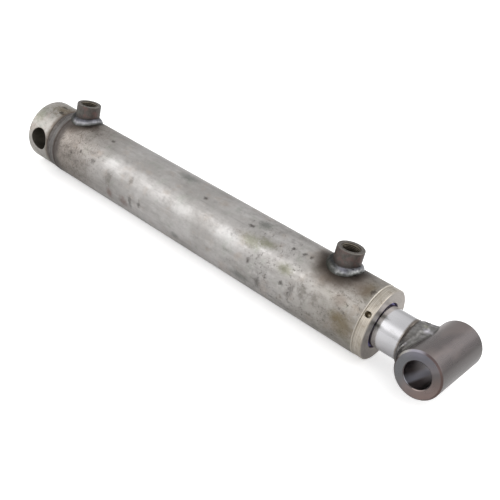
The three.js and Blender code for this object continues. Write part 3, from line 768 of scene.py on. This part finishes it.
def eye_steel():
    """The cross tube: dark turned steel with lilac and straw-pink blooms and fine rings, with a painted dark
    band along it, painted highlights and shade on its chamfers and a painted reflection in its bore.
    """
    shader = Shader("eye_steel", (0.19, 0.168, 0.168), 0.27, 1)
    marks = turning_marks(shader, (EYE_X, 0, 0), "Y", 1500, 0.01 * MM)
    coarse = shader.noise(480, 3, 0.65, shader.lathe_place((EYE_X, 0, 0), "Y"))
    bloom = shader.noise((42, 14, 42), 3)
    shader.wash(bloom, 0.42, 0.62, (0.248, 0.211, 0.203))
    shader.wash(coarse, 0.5, 0.7, (0.13, 0.115, 0.115), 0.14)
    shader.wash(marks, 0.5, 0.8, (0.11, 0.1, 0.1), 0.14)
    x, y, z = (shader.axis(letter) for letter in "XYZ")
    turn = shader.math("ARCTAN2", shader.math("SUBTRACT", x, EYE_X), z)
    wavy = shader.shifted(turn, bloom, 0.25)
    # painted shade: a darker band along the eye, from 50° to 118° round it
    shader.paint((0.115, 0.104, 0.101), shader.window(wavy, *radians(50, 64, 96, 118)), 0.85)
    near_end = shader.span(shader.math("ABSOLUTE", y), EYE_HALF - 2 * MM, EYE_HALF - 1.4 * MM)
    slant = shader.math("SUBTRACT", z, shader.math("SUBTRACT", x, EYE_X))
    shader.paint((0.155, 0.153, 0.172), near_end, shader.span(slant, -16 * MM, 22 * MM))
    shader.paint((0.225, 0.165, 0.15), near_end, shader.span(slant, 0, -34 * MM, 0, 0.85))
    far_left = shader.span(x, EYE_X - 5 * MM, EYE_X - 16 * MM, 0, 0.7)
    shader.paint((0.165, 0.168, 0.17), near_end, far_left)
    out = shader.out_from((EYE_X, 0, 0), (1, 0, 1))
    chamfer = shader.times(near_end, shader.span(out, EYE_R - 2.2 * MM, EYE_R - 1.3 * MM))
    # painted shade: the outer chamfer painted dark
    shader.paint((0.1, 0.068, 0.062), chamfer, 0.85)
    # painted highlights: lilac and straw glints on the chamfer's top-left, spreading softly onto the end face
    lilac = shader.window(turn, *radians(-80, -50, -20, 4))
    shader.paint((0.4, 0.385, 0.43), chamfer, lilac)
    straw = shader.window(turn, *radians(-80, -60, -48, -30))
    shader.paint((0.44, 0.43, 0.38), chamfer, straw)
    inner = shader.window(turn, *radians(-75, -40, -15, 10))
    outer = shader.span(out, EYE_R - 8 * MM, EYE_R - 3 * MM, 0, 0.5)
    shader.paint((0.25, 0.24, 0.28), near_end, inner, outer)
    rim = shader.span(out, PIN_HOLE_R + 0.9 * MM, PIN_HOLE_R + 0.6 * MM)
    # painted shade: the bore's chamfer painted dark
    shader.paint((0.1, 0.095, 0.09), rim)
    # painted highlight: a pinkish glint on the chamfer's lowest part
    low_side = shader.window(turn, *radians(120, 150, 179, 181))
    shader.paint((0.4, 0.33, 0.3), rim, low_side)
    paint_eye_bore(shader, shader.span(out, PIN_HOLE_R + 0.4 * MM, PIN_HOLE_R + 0.1 * MM), x, y, z)
    shader.rough(bloom, 0.3, 0.7, 0.24, 0.34)
    shader.bump(shader.noise(600, 3), 0.03 * MM, 0.3)
    return shader.material


def turned_metal(name, color, roughness):
    """Machined metal on a piece inside: tool marks and a little cloudiness."""
    shader = Shader(name, color, roughness, 1)
    marks = turning_marks(shader, (0, 0, 0), "X", 2200, 0.03 * MM)
    shader.wash(marks, 0.35, 0.7, tuple(0.7 * part for part in color))
    shader.rough(shader.noise(80), 0.3, 0.7, roughness, roughness + 0.12)
    return shader.material


def moulded(name, color, roughness):
    """Rubber or plastic: a fine moulded grain and slight patches."""
    shader = Shader(name, color, roughness, 0)
    patches = shader.noise(150, 3)
    shader.wash(patches, 0.35, 0.7, tuple(min(1, 1.35 * part + 0.01) for part in color))
    shader.rough(patches, 0.3, 0.7, roughness, roughness + 0.15)
    shader.bump(shader.noise(900, 3), 0.03 * MM, 0.4)
    return shader.material


# ---------- the barrel ----------


def x_rod(x0, x1, r, segments=96):
    """A plain closed bar along X, for cutting holes."""
    return loft([circle(x0, 0), circle(x0, r, segments), circle(x1, r, segments), circle(x1, 0)], False)


def barrel_tube():
    bevel_start = ends("barrel_tube")[0]
    chamfer = 1 * MM
    mouth_chamfer = 0.8 * MM
    counterbore_r = GLAND_THREAD_R + 0.3 * MM
    outside = stretch(CAP_WELD[1], TUBE_END - chamfer, TUBE_R, 12 * MM)[:-1]
    shape = turned([
        (bevel_start, BORE_R),
        (bevel_start, BORE_R + 0.8 * MM),
        *outside,
        (TUBE_END - chamfer, TUBE_R, 0.2 * MM),
        (TUBE_END, TUBE_R - chamfer, 0.15 * MM),
        (TUBE_END, counterbore_r + mouth_chamfer),
        (TUBE_END - mouth_chamfer, counterbore_r),
        (SEAT_X + 1.5 * MM, counterbore_r),
        (SEAT_X, BORE_R),
    ], segments=2 * SEGMENTS)
    tube = mesh_object("tube", shape)
    ways = [mesh_object("way", x_rod(20 * MM, 50 * MM, OIL_WAY_R), along_z(x)) for x in PORT_X.values()]
    return cut(tube, ways, None)


def base_cap():
    shape = turned([
        (0, 0),
        (0, CAP_R - 1.2 * MM, 0.5 * MM),
        (1.2 * MM, CAP_R, 0.8 * MM),
        *stretch(8 * MM, CAP_WELD[0] - 1.5 * MM, CAP_R, 6 * MM),
        (CAP_WELD[0], CAP_R - 0.35 * MM),
        (CAP_WELD[0] + 5 * MM, BORE_R + 0.4 * MM),
        (CAP_WELD[0] + 7.5 * MM, BORE_R + 0.4 * MM),
        (CAP_WELD[0] + 7.5 * MM, BORE_R - 0.3 * MM),
        (SPIGOT_END - 1 * MM, BORE_R - 0.3 * MM),
        (SPIGOT_END, BORE_R - 1.3 * MM),
        (SPIGOT_END, 0),
    ], segments=2 * SEGMENTS)
    cap = mesh_object("cap", shape)
    reach = 2 * CAP_R
    hole = mesh_object("hole", x_rod(-reach, reach, PIN_HOLE_R, 128), along_y(BASE_PIN_X))
    return cut(cap, [hole], 0.25 * MM)


def base_cap_weld():
    """Three passes laid side by side round the seam, each crowned and rippled."""
    start, end = CAP_WELD
    across = 40
    passes = 3
    toe = CAP_R - 0.6 * MM
    rings = [circle(start + 7 * MM, BORE_R + 1 * MM, 2 * SEGMENTS)]
    for i in range(across + 1):
        t = i / across
        x = start + (end + 0.6 * MM - start) * t
        base = toe + (TUBE_R - toe + 0.02 * MM) * t
        crown = 0.32 * MM * abs(math.sin(math.pi * passes * t)) ** 0.7 + 0.25 * MM * math.sin(math.pi * t)
        ring = circle(x, base, 2 * SEGMENTS)
        for j, point in enumerate(ring):
            a = 2 * math.pi * j / len(ring)
            bow = 0.1 * math.sin(math.pi * passes * t) ** 2
            ripple = 0.07 * MM * math.sin(110 * (a + bow) + 3 * wander(x, a, 0, 3))
            lumps = 0.18 * MM * wander(point.x, point.y, point.z, 160)
            fade = math.sin(math.pi * t) ** 0.4
            lift = crown + (ripple + lumps) * fade
            point.y *= (base + lift) / base
            point.z *= (base + lift) / base
        rings.append(ring)
    return mesh_object("weld", loft(rings, True))


def saddle(y):
    """Height of the tube's top surface at y."""
    return math.sqrt(TUBE_R**2 - y**2)


def thread_relief(x0, x1, crest, depth):
    """Relief of a right-hand thread cut outwards from a bore of radius crest, between x0 and x1."""

    def relief(x, r, angle):
        if abs(r - crest) > 0.05 * MM or not x0 < x < x1:
            return 0
        phase = (x / THREAD_PITCH - angle / (2 * math.pi)) % 1
        tooth = 1 - abs(2 * phase - 1)
        fade = min(1, (x - x0) / THREAD_PITCH, (x1 - x) / THREAD_PITCH)
        return depth * fade * min(1, 1.25 * tooth)

    return relief


def port_boss(x):
    thread = (TUBE_R + 3 * MM, PORT_TOP - 0.9 * MM)
    shape = turned([
        (0, PORT_CREST_R),
        (0, PORT_R),
        *stretch(TUBE_R - 3 * MM, PORT_TOP - 3 * MM, PORT_R, 3 * MM),
        (PORT_TOP - 0.5 * MM, PORT_R, 0.6 * MM),
        (PORT_TOP, PORT_R - 0.6 * MM, 0.4 * MM),
        (PORT_TOP, PORT_CREST_R + 1.5 * MM, 0.2 * MM),
        *stretch(PORT_TOP - 1.3 * MM, TUBE_R + 1 * MM, PORT_CREST_R, THREAD_PITCH / 8),
    ], segments=128, relief=thread_relief(*thread, PORT_CREST_R, THREAD_DEPTH))

    def fitted(point):
        """Ends the boss on the tube and leaves its top slightly uneven."""
        z = max(point.z, saddle(point.y) - FIT)
        if z > PORT_TOP - 0.1 * MM:
            z -= abs(0.05 * MM * wander(*point, 500))
        return Vector((point.x, point.y, z))

    return mesh_object("boss", shape, along_z(x), fitted)


def port_weld(x, leg, seed, ripples):
    """A fat fillet bead round a boss, rippled and uneven, following the tube as it curves away."""
    around = 288
    across = 20
    section = [Vector((math.sin(u), math.cos(u))) for u in
               (math.radians(90) * i / across for i in range(across + 1))]
    rings = []
    for i in range(around):
        a = 2 * math.pi * i / around
        uneven = 1 + 0.4 * ripples / MM * wander(math.cos(a), math.sin(a), 0, 1.6, seed)
        ring = []
        for u, v in section:
            along = math.atan2(u, v)
            crescent = 0.22 * math.sin(2 * along)
            ripple = abs(math.sin(9 * (a + crescent) + 2.5 * wander(a, 0, 0, 2, seed))) ** 0.8
            fade = math.sin(2 * along) ** 0.5 if 0 < u < 1 else 0
            lump = wander(math.cos(a) * 2.2, math.sin(a) * 2.2, along, 1.4, seed)
            lift = fade * (ripples * (ripple + 3 * lump) - 0.2 * MM)
            out = PORT_R + leg * uneven * u**1.25 + lift * u
            up = leg * uneven * v**1.25 + lift * v
            y = out * math.sin(a)
            ring.append(Vector((x + out * math.cos(a), y, saddle(y) + up)))
        toe_y = (PORT_R + leg * uneven) * math.sin(a)
        toe = Vector((x + (PORT_R + leg * uneven) * math.cos(a), toe_y, saddle(toe_y) - OVERLAP))
        inner = PORT_R - OVERLAP
        root_y = inner * math.sin(a)
        root = Vector((x + inner * math.cos(a), root_y, saddle(root_y) - OVERLAP))
        top = Vector((root.x, root.y, saddle(root_y) + leg * uneven))
        rings.append([top, *ring, toe, root])
    return mesh_object("weld", loft(rings, True))


# ---------- the gland and the wiper ----------


def head_gland():
    bore = ROD_R + 0.4 * MM
    wiper_low, _, wiper_floor = groove_for("rod_wiper")
    wiper_high = wiper_low + 6.6 * MM
    land = BORE_R - 0.2 * MM
    land_x = SEAT_X - 15 * MM
    groove_low = land_x + 3 * MM
    groove_high = groove_low + 7.4 * MM
    groove_floor = BORE_R - 3 * MM
    outline = [
        (GLAND_NOSE, GLAND_NOSE_R),
        (land_x - 1.5 * MM, GLAND_NOSE_R),
        (land_x, land),
        (groove_low, land),
        (groove_low, groove_floor),
        (groove_high, groove_floor),
        (groove_high, land),
        (SEAT_X + 0.5 * MM, land),
        (SEAT_X + 4 * MM, GLAND_THREAD_R),
        (TUBE_END - 1 * MM, GLAND_THREAD_R),
        (FLANGE_BACK, GLAND_THREAD_R - 1 * MM),
        (FLANGE_BACK, FLANGE_R - 0.4 * MM, 0.1 * MM),
        (FLANGE_BACK + 0.4 * MM, FLANGE_R, 0.1 * MM),
        (GLAND_FACE - 0.9 * MM, FLANGE_R, 0.15 * MM),
        (GLAND_FACE, FLANGE_R - 0.9 * MM, 0.25 * MM),
        (GLAND_FACE, GLAND_LIP_R + 0.3 * MM, 0.1 * MM),
        (GLAND_FACE - 0.3 * MM, GLAND_LIP_R, 0.1 * MM),
        (wiper_high, GLAND_LIP_R),
        (wiper_high, wiper_floor),
        (wiper_low, wiper_floor),
        (wiper_low, bore),
    ]
    for node in ("rod_seal", "rod_guide_ring_front", "rod_guide_ring_rear"):
        low, high, floor = groove_for(node)
        outline += [(high, bore), (high, floor), (low, floor), (low, bore)]
    outline.append((GLAND_NOSE, bore))
    gland = mesh_object("gland", turned(outline, radius=0.2 * MM, segments=2 * SEGMENTS))
    depth = 5.5 * MM
    tip = 1.6 * MM
    drill = loft([
        circle(FLANGE_R - depth - tip, 0),
        circle(FLANGE_R - depth, SPANNER_HOLE_R, 48),
        circle(FLANGE_R + depth, SPANNER_HOLE_R, 48),
        circle(FLANGE_R + depth, 0),
    ], False)
    holes = []
    for turn in range(4):
        swing = Matrix.Rotation(math.radians(SPANNER_ANGLE + 90 * turn), 4, "X")
        stand = Matrix.Rotation(math.radians(-90), 4, "Y")
        middle = Matrix.Translation((SPANNER_X, 0, 0))
        holes.append(mesh_object("drill", drill, middle @ swing @ stand))
    return cut(gland, holes, None)


def rod_wiper():
    low, high, outer = ring_size("rod_wiper")
    body_end = low + 6.2 * MM
    lip = ROD_R + 0.12 * MM
    return mesh_object("wiper", turned([
        (low, ROD_R + 0.9 * MM),
        (low, outer),
        (body_end, outer),
        (body_end, GLAND_LIP_R - 0.5 * MM),
        (body_end + 0.7 * MM, GLAND_LIP_R - 0.8 * MM),
        (high, lip + 0.5 * MM, 0.2 * MM),
        (high - 0.2 * MM, lip, 0.1 * MM),
        (body_end - 1.5 * MM, ROD_R + 0.6 * MM),
    ]))


# ---------- the rod and its eye ----------


def piston_rod():
    start, tip_x = ends("piston_rod")
    shoulder = PISTON_HIGH + FIT
    return mesh_object("rod", turned([
        (start, 0),
        (start, ROD_THREAD_R - 1.2 * MM),
        (start + 1.2 * MM, ROD_THREAD_R),
        (PISTON_LOW + 2 * MM, ROD_THREAD_R),
        (PISTON_LOW + 2.4 * MM, SPINDLE_R),
        (shoulder, SPINDLE_R),
        (shoulder, ROD_R - 0.8 * MM),
        (shoulder + 0.8 * MM, ROD_R),
        *stretch(shoulder + 10 * MM, ROD_WELD_X - 3 * MM, ROD_R, 40 * MM),
        (ROD_WELD_X + 1 * MM, ROD_R, 0.3 * MM),
        (tip_x, 14 * MM),
        (tip_x, 0),
    ]))


def rod_eye():
    chamfer = 1.9 * MM
    bore_chamfer = 0.7 * MM
    half = EYE_HALF
    profile = [
        (-half, PIN_HOLE_R + bore_chamfer, 0.15 * MM),
        (-half, EYE_R - chamfer, 0.3 * MM),
        (-half + chamfer, EYE_R, 0.3 * MM),
        *stretch(-half + 4 * MM, half - 4 * MM, EYE_R, 8 * MM),
        (half - chamfer, EYE_R, 0.3 * MM),
        (half, EYE_R - chamfer, 0.3 * MM),
        (half, PIN_HOLE_R + bore_chamfer, 0.15 * MM),
        (half - bore_chamfer, PIN_HOLE_R, 0.15 * MM),
        *stretch(half - 4 * MM, 4 * MM - half, PIN_HOLE_R, 8 * MM),
        (bore_chamfer - half, PIN_HOLE_R, 0.15 * MM),
    ]
    return mesh_object("eye", turned(profile), along_y(EYE_X))


def weld_skin(a, t):
    """A smooth point of the eye's bead: at angle a round the rod, from the rod (t = 0) to the eye (t = 1)."""
    out = Vector((0, -math.sin(a), math.cos(a)))
    side = math.sin(a) ** 2
    start = Vector((ROD_WELD_X, 0, 0)) + ROD_R * out
    z = EYE_BEAD_HEIGHT * math.cos(a)
    end = Vector((EYE_X - math.sqrt(EYE_R**2 - z**2), -EYE_BEAD_REACH * math.sin(a), z))
    bulge = Vector((
        start.x + (end.x - start.x) * (0.5 - 0.1 * side),
        start.y + (end.y - start.y) * (0.3 + 0.25 * side),
        start.z + (end.z - start.z) * 0.5,
    ))
    bulge += out * (0.3 + 1.4 * side) * MM
    return start * (1 - t) ** 2 + bulge * (2 * t * (1 - t)) + end * t**2


def hump(value, centre, width):
    """A smooth hump, 1 at the centre and nearly 0 at twice its width away."""
    return math.exp(-(((value - centre) / width) ** 2))


def rod_eye_weld():
    """The bead from the rod to the cross tube: round at the rod, spread wide and flat on the eye."""
    around = 300
    across = 60
    root_r = 14 * MM
    angles = [2 * math.pi * i / around for i in range(around)]
    rings = [[Vector((ROD_WELD_X + 6 * MM, -root_r * math.sin(a), root_r * math.cos(a))) for a in angles]]
    for step in range(across + 1):
        t = step / across
        ring = []
        for a in angles:
            out = Vector((0, -math.sin(a), math.cos(a)))
            point = weld_skin(a, t)
            fade = math.sin(math.pi * t) ** 0.5 if 0 < t < 1 else 0
            lumps = 1.0 * MM * wander(*point, 110, 5) + 0.35 * MM * wander(*point, 230, 2)
            ripple = 0.09 * MM * math.sin(40 * a + 5 * t + 3 * wander(*point, 60))
            undercut = 0.5 * MM * hump(t, 0.1, 0.06)
            edge = 0.57 + 0.05 * math.sin(2 * a + 1) + 0.16 * wander(*point, 90)
            passes = 0.35 * MM * hump(t, edge, 0.06) - 0.4 * MM * hump(t, edge + 0.14, 0.07)
            away = (point - Vector(CRATER)).length
            crater = 0.5 * MM * hump(away, 2.6 * MM, 0.9 * MM) - 0.6 * MM * hump(away, 0, 1.6 * MM)
            nearest, along = intersect_point_line(point, *map(Vector, LAST_RIDGE))
            nearest = Vector(LAST_RIDGE[0]).lerp(Vector(LAST_RIDGE[1]), min(1, max(0, along)))
            ridge = 0.9 * MM * hump((point - nearest).length, 0, 1.3 * MM)
            ring.append(point + out * (fade * (lumps + ripple + crater + ridge + passes) - undercut))
        rings.append(ring)
    tuck = Vector((6 * OVERLAP, 0, 0))
    rings.append([point.lerp(Vector((EYE_X, 0, 0)), 0.06) + tuck for point in rings[-1]])
    return mesh_object("weld", loft(rings, True))


# ---------- rings and the piston, inside ----------


def square_ring(node, thickness, corner=0.3 * MM):
    """A ring of rectangular section, as wide as its CAD node and reaching out as far."""
    low, high, outer = ring_size(node)
    inner = outer - thickness
    section = [(low, inner), (low, outer), (high, outer), (high, inner)]
    return mesh_object("ring", turned(section, radius=corner))


def round_ring(node, height):
    """An O-ring squeezed in its groove to an oval section."""
    low, high, outer = ring_size(node)
    section = []
    for i in range(24):
        turn = 2 * math.pi * i / 24
        section.append(((low + high) / 2 + (high - low) / 2 * math.cos(turn),
                        outer - height / 2 * (1 - math.sin(turn)), 0))
    return mesh_object("ring", turned(section))


def rod_seal():
    """A U-cup: two lips round a slot that faces the oil."""
    low, high, outer = ring_size("rod_seal")
    inner = ROD_R + 0.15 * MM
    middle = (inner + outer) / 2
    lip = 0.6 * MM
    half_slot = 1.25 * MM
    depth = 4.2 * MM
    return mesh_object("seal", turned([
        (low + lip, inner),
        (low, inner + lip),
        (low, middle - half_slot),
        (low + depth, middle - half_slot),
        (low + depth, middle + half_slot),
        (low, middle + half_slot),
        (low, outer - lip),
        (low + lip, outer),
        (high, outer),
        (high, inner),
    ], radius=0.25 * MM))


def piston():
    """The piston with its ring grooves outside and an O-ring groove in its bore."""
    bore = SPINDLE_R + FIT
    chamfer = 1 * MM
    bore_chamfer = 0.6 * MM
    outline = [
        (PISTON_LOW, bore + bore_chamfer),
        (PISTON_LOW, PISTON_R - chamfer),
        (PISTON_LOW + chamfer, PISTON_R),
    ]
    for ring, floor in (
        ("piston_wear_ring_rear", WEAR_GROOVE_R),
        ("piston_seal", SEAL_GROOVE_R),
        ("piston_wear_ring_front", WEAR_GROOVE_R),
    ):
        low, high, _ = groove_for(ring)
        outline += [(low, PISTON_R), (low, floor), (high, floor), (high, PISTON_R)]
    outline += [(PISTON_HIGH - chamfer, PISTON_R), (PISTON_HIGH, PISTON_R - chamfer)]
    low, high, floor = groove_for("piston_o_ring")
    outline += [(PISTON_HIGH, bore + bore_chamfer), (PISTON_HIGH - bore_chamfer, bore)]
    outline += [(high, bore), (high, floor), (low, floor), (low, bore)]
    outline.append((PISTON_LOW + bore_chamfer, bore))
    return mesh_object("piston", turned(outline, radius=0.2 * MM))


def piston_nut():
    """A hexagon lock nut with bevelled corners and a counterbore for its locking insert."""
    low, high = ends("piston_nut")
    apothem = (ends("piston_nut", 1)[1] - ends("piston_nut", 1)[0]) / 2
    corner = apothem / math.cos(math.radians(30))
    bore = ROD_THREAD_R + FIT
    insert_high = ends("nut_locking_insert")[1] + FIT
    bevel_steps = 8
    bevels = [2 * MM * i / bevel_steps for i in range(bevel_steps + 1)]
    rings = [circle(low, NUT_INSERT_R)]
    for x, depth in [(low + b, b) for b in bevels] + [(high - b, b) for b in reversed(bevels)]:
        envelope = corner - (bevels[-1] - depth) * math.sqrt(3)
        ring = circle(x, 1)
        for i, point in enumerate(ring):
            from_flat = (2 * math.pi * i / SEGMENTS + math.pi / 6) % (math.pi / 3) - math.pi / 6
            r = min(apothem / math.cos(from_flat), envelope)
            point.y *= r
            point.z *= r
        rings.append(ring)
    rings += [circle(high, bore), circle(insert_high, bore), circle(insert_high, NUT_INSERT_R)]
    return mesh_object("nut", loft(rings, True))


# ---------- camera, floor and light ----------

CAMERA_AT = Vector((0.7366, -0.5991, 0.3526))
CAMERA_ANGLES = (33.33, 26.434, 14.547)  # degrees: azimuth, elevation and roll
CAMERA_LENS = 53.81  # mm, on a sensor 36 mm wide


def make_camera():
    """Looks down on the cylinder from the side of its rod eye, rolled as a hand-held shot would be."""
    azimuth, elevation, roll = radians(*CAMERA_ANGLES)
    back = Vector((
        math.sin(azimuth) * math.cos(elevation),
        -math.cos(azimuth) * math.cos(elevation),
        math.sin(elevation),
    ))
    right = (-back).cross(Vector((0, 0, 1))).normalized()
    up = right.cross(-back)
    turned_right = right * math.cos(roll) + up * math.sin(roll)
    turned_up = up * math.cos(roll) - right * math.sin(roll)
    camera = bpy.data.objects.new("camera", bpy.data.cameras.new("camera"))
    camera.data.lens = CAMERA_LENS
    camera.data.sensor_width = 36
    camera.data.clip_start = 0.01
    axes = Matrix((turned_right, turned_up, back)).transposed()
    camera.matrix_world = Matrix.Translation(CAMERA_AT) @ axes.to_4x4()
    bpy.context.scene.collection.objects.link(camera)
    bpy.context.scene.camera = camera


def make_floor(height):
    """A wide pale floor. It glows a little to the camera, so it stays pale beneath soft shadows."""
    side = 30
    corners = [Vector((x * side, y * side, height)) for x, y in ((-1, -1), (1, -1), (1, 1), (-1, 1))]
    floor = mesh_object("floor", (corners, [(0, 1, 2, 3)]))
    shader = Shader("pale_floor", (0.86, 0.86, 0.86), 0.9, 0)
    shader.set("Specular IOR Level", 0.0)
    shader.set("Emission Color", (1, 1, 1, 1))
    seen = shader.add("LightPath").outputs["Is Camera Ray"]
    shader.set("Emission Strength", shader.shifted(0.03, seen, 0.46))
    floor.data.materials.append(shader.material)


def make_world():
    """A white studio seen by reflection: a dim side, a bright soft box in front and a strip behind.

    across is the angle round X from straight up towards -Y, and along the one from straight up towards +X.
    """
    world = bpy.data.worlds.new("studio")
    world.use_nodes = True
    bpy.context.scene.world = world
    sky = Nodes(world.node_tree, "Generated")
    x, y, z = (sky.axis(letter) for letter in "XYZ")
    across = sky.math("ARCTAN2", sky.math("MULTIPLY", y, -1.0), z)
    along = sky.math("ARCTAN2", x, z)

    room = sky.span(across, math.radians(-70), math.radians(-35), 0.62, 0.86)
    front_edge = sky.span(x, -0.29, -0.5, math.radians(80), math.radians(92))
    box = sky.times(
        sky.span(across, math.radians(22), math.radians(50)),
        sky.span(across, front_edge, sky.math("SUBTRACT", front_edge, math.radians(20))),
    )
    box_strength = sky.math("ADD", sky.span(x, -0.29, -0.5, 0.55, 1.2), sky.span(x, -0.6, -0.75, 0, -0.5))
    strip = sky.times(sky.window(along, *radians(-8, 15, 38, 62)), sky.span(y, 0.45, 0.7), 0.45)
    side = sky.times(
        sky.window(along, *radians(12, 30, 70, 80)), sky.window(y, -0.25, 0.05, 0.5, 0.75), 0.9)
    light = sky.math("ADD", sky.math("ADD", room, sky.times(box, box_strength)), sky.math("ADD", strip, side))
    seen = sky.add("LightPath").outputs["Is Camera Ray"]
    background = world.node_tree.nodes["Background"]
    background.inputs["Color"].default_value = (1, 1, 1, 1)
    sky.join(sky.math("MAXIMUM", light, seen), background.inputs["Strength"])


# ---------- the whole object ----------

make_camera()
make_world()

finish_piece("barrel_tube", barrel_tube(), drawn_steel())
finish_piece("base_cap", base_cap(), cap_steel())
finish_piece("base_cap_weld", base_cap_weld(), cap_bead_metal())
ports = (
    ("base_port", 5.2 * MM, 3.1, 0.05 * MM, 0.65, (0.34, 0.338, 0.36), (0.21, 0.21, 0.223)),
    ("rod_end_port", 5.2 * MM, 7.7, 0.24 * MM, 0.45, (0.37, 0.374, 0.372), (0.17, 0.173, 0.176)),
)
for port, leg, seed, ripples, rust, light, dark in ports:
    x = PORT_X[port]
    bead = port_bead_metal(port + "_bead_metal", x, light, dark, 0.8 * ripples)
    finish_piece(port + "_boss", port_boss(x), boss_steel(port + "_steel", x, rust))
    finish_piece(port + "_weld", port_weld(x, leg, seed, ripples), bead)
finish_piece("head_gland", head_gland(), bright_turned_steel())
finish_piece("piston_rod", piston_rod(), hard_chrome())
finish_piece("rod_eye", rod_eye(), eye_steel())
finish_piece("rod_eye_weld", rod_eye_weld(), eye_bead_metal())
finish_piece("piston", piston(), turned_metal("turned_iron", (0.3, 0.3, 0.3), 0.35))
finish_piece("piston_nut", piston_nut(), turned_metal("nut_steel", (0.24, 0.21, 0.2), 0.35))

urethane = moulded("urethane", (0.17, 0.15, 0.34), 0.35)
rubber = moulded("rubber", (0.03, 0.03, 0.035), 0.5)
nylon = moulded("nylon", (0.08, 0.2, 0.12), 0.45)
finish_piece("rod_wiper", rod_wiper(), urethane)
finish_piece("rod_seal", rod_seal(), urethane)
finish_piece("piston_seal", square_ring("piston_seal", 2.7 * MM), urethane)
o_rings = (
    ("gland_o_ring", 2.6 * MM),
    ("rod_seal_expander", 1.8 * MM),
    ("piston_seal_energizer", 3 * MM),
    ("piston_o_ring", 2.1 * MM),
)
for node, height in o_rings:
    finish_piece(node, round_ring(node, height), rubber)
nylon_rings = (
    ("gland_backup_ring", 2.6 * MM),
    ("rod_guide_ring_rear", 2.3 * MM),
    ("rod_guide_ring_front", 2.3 * MM),
    ("piston_wear_ring_rear", 2.5 * MM),
    ("piston_wear_ring_front", 2.5 * MM),
    ("nut_locking_insert", 2.4 * MM),
)
for node, thickness in nylon_rings:
    finish_piece(node, square_ring(node, thickness), nylon)

bpy.context.scene.view_settings.view_transform = "Standard"

visual_low, visual_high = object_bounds()
make_floor(visual_low.z)
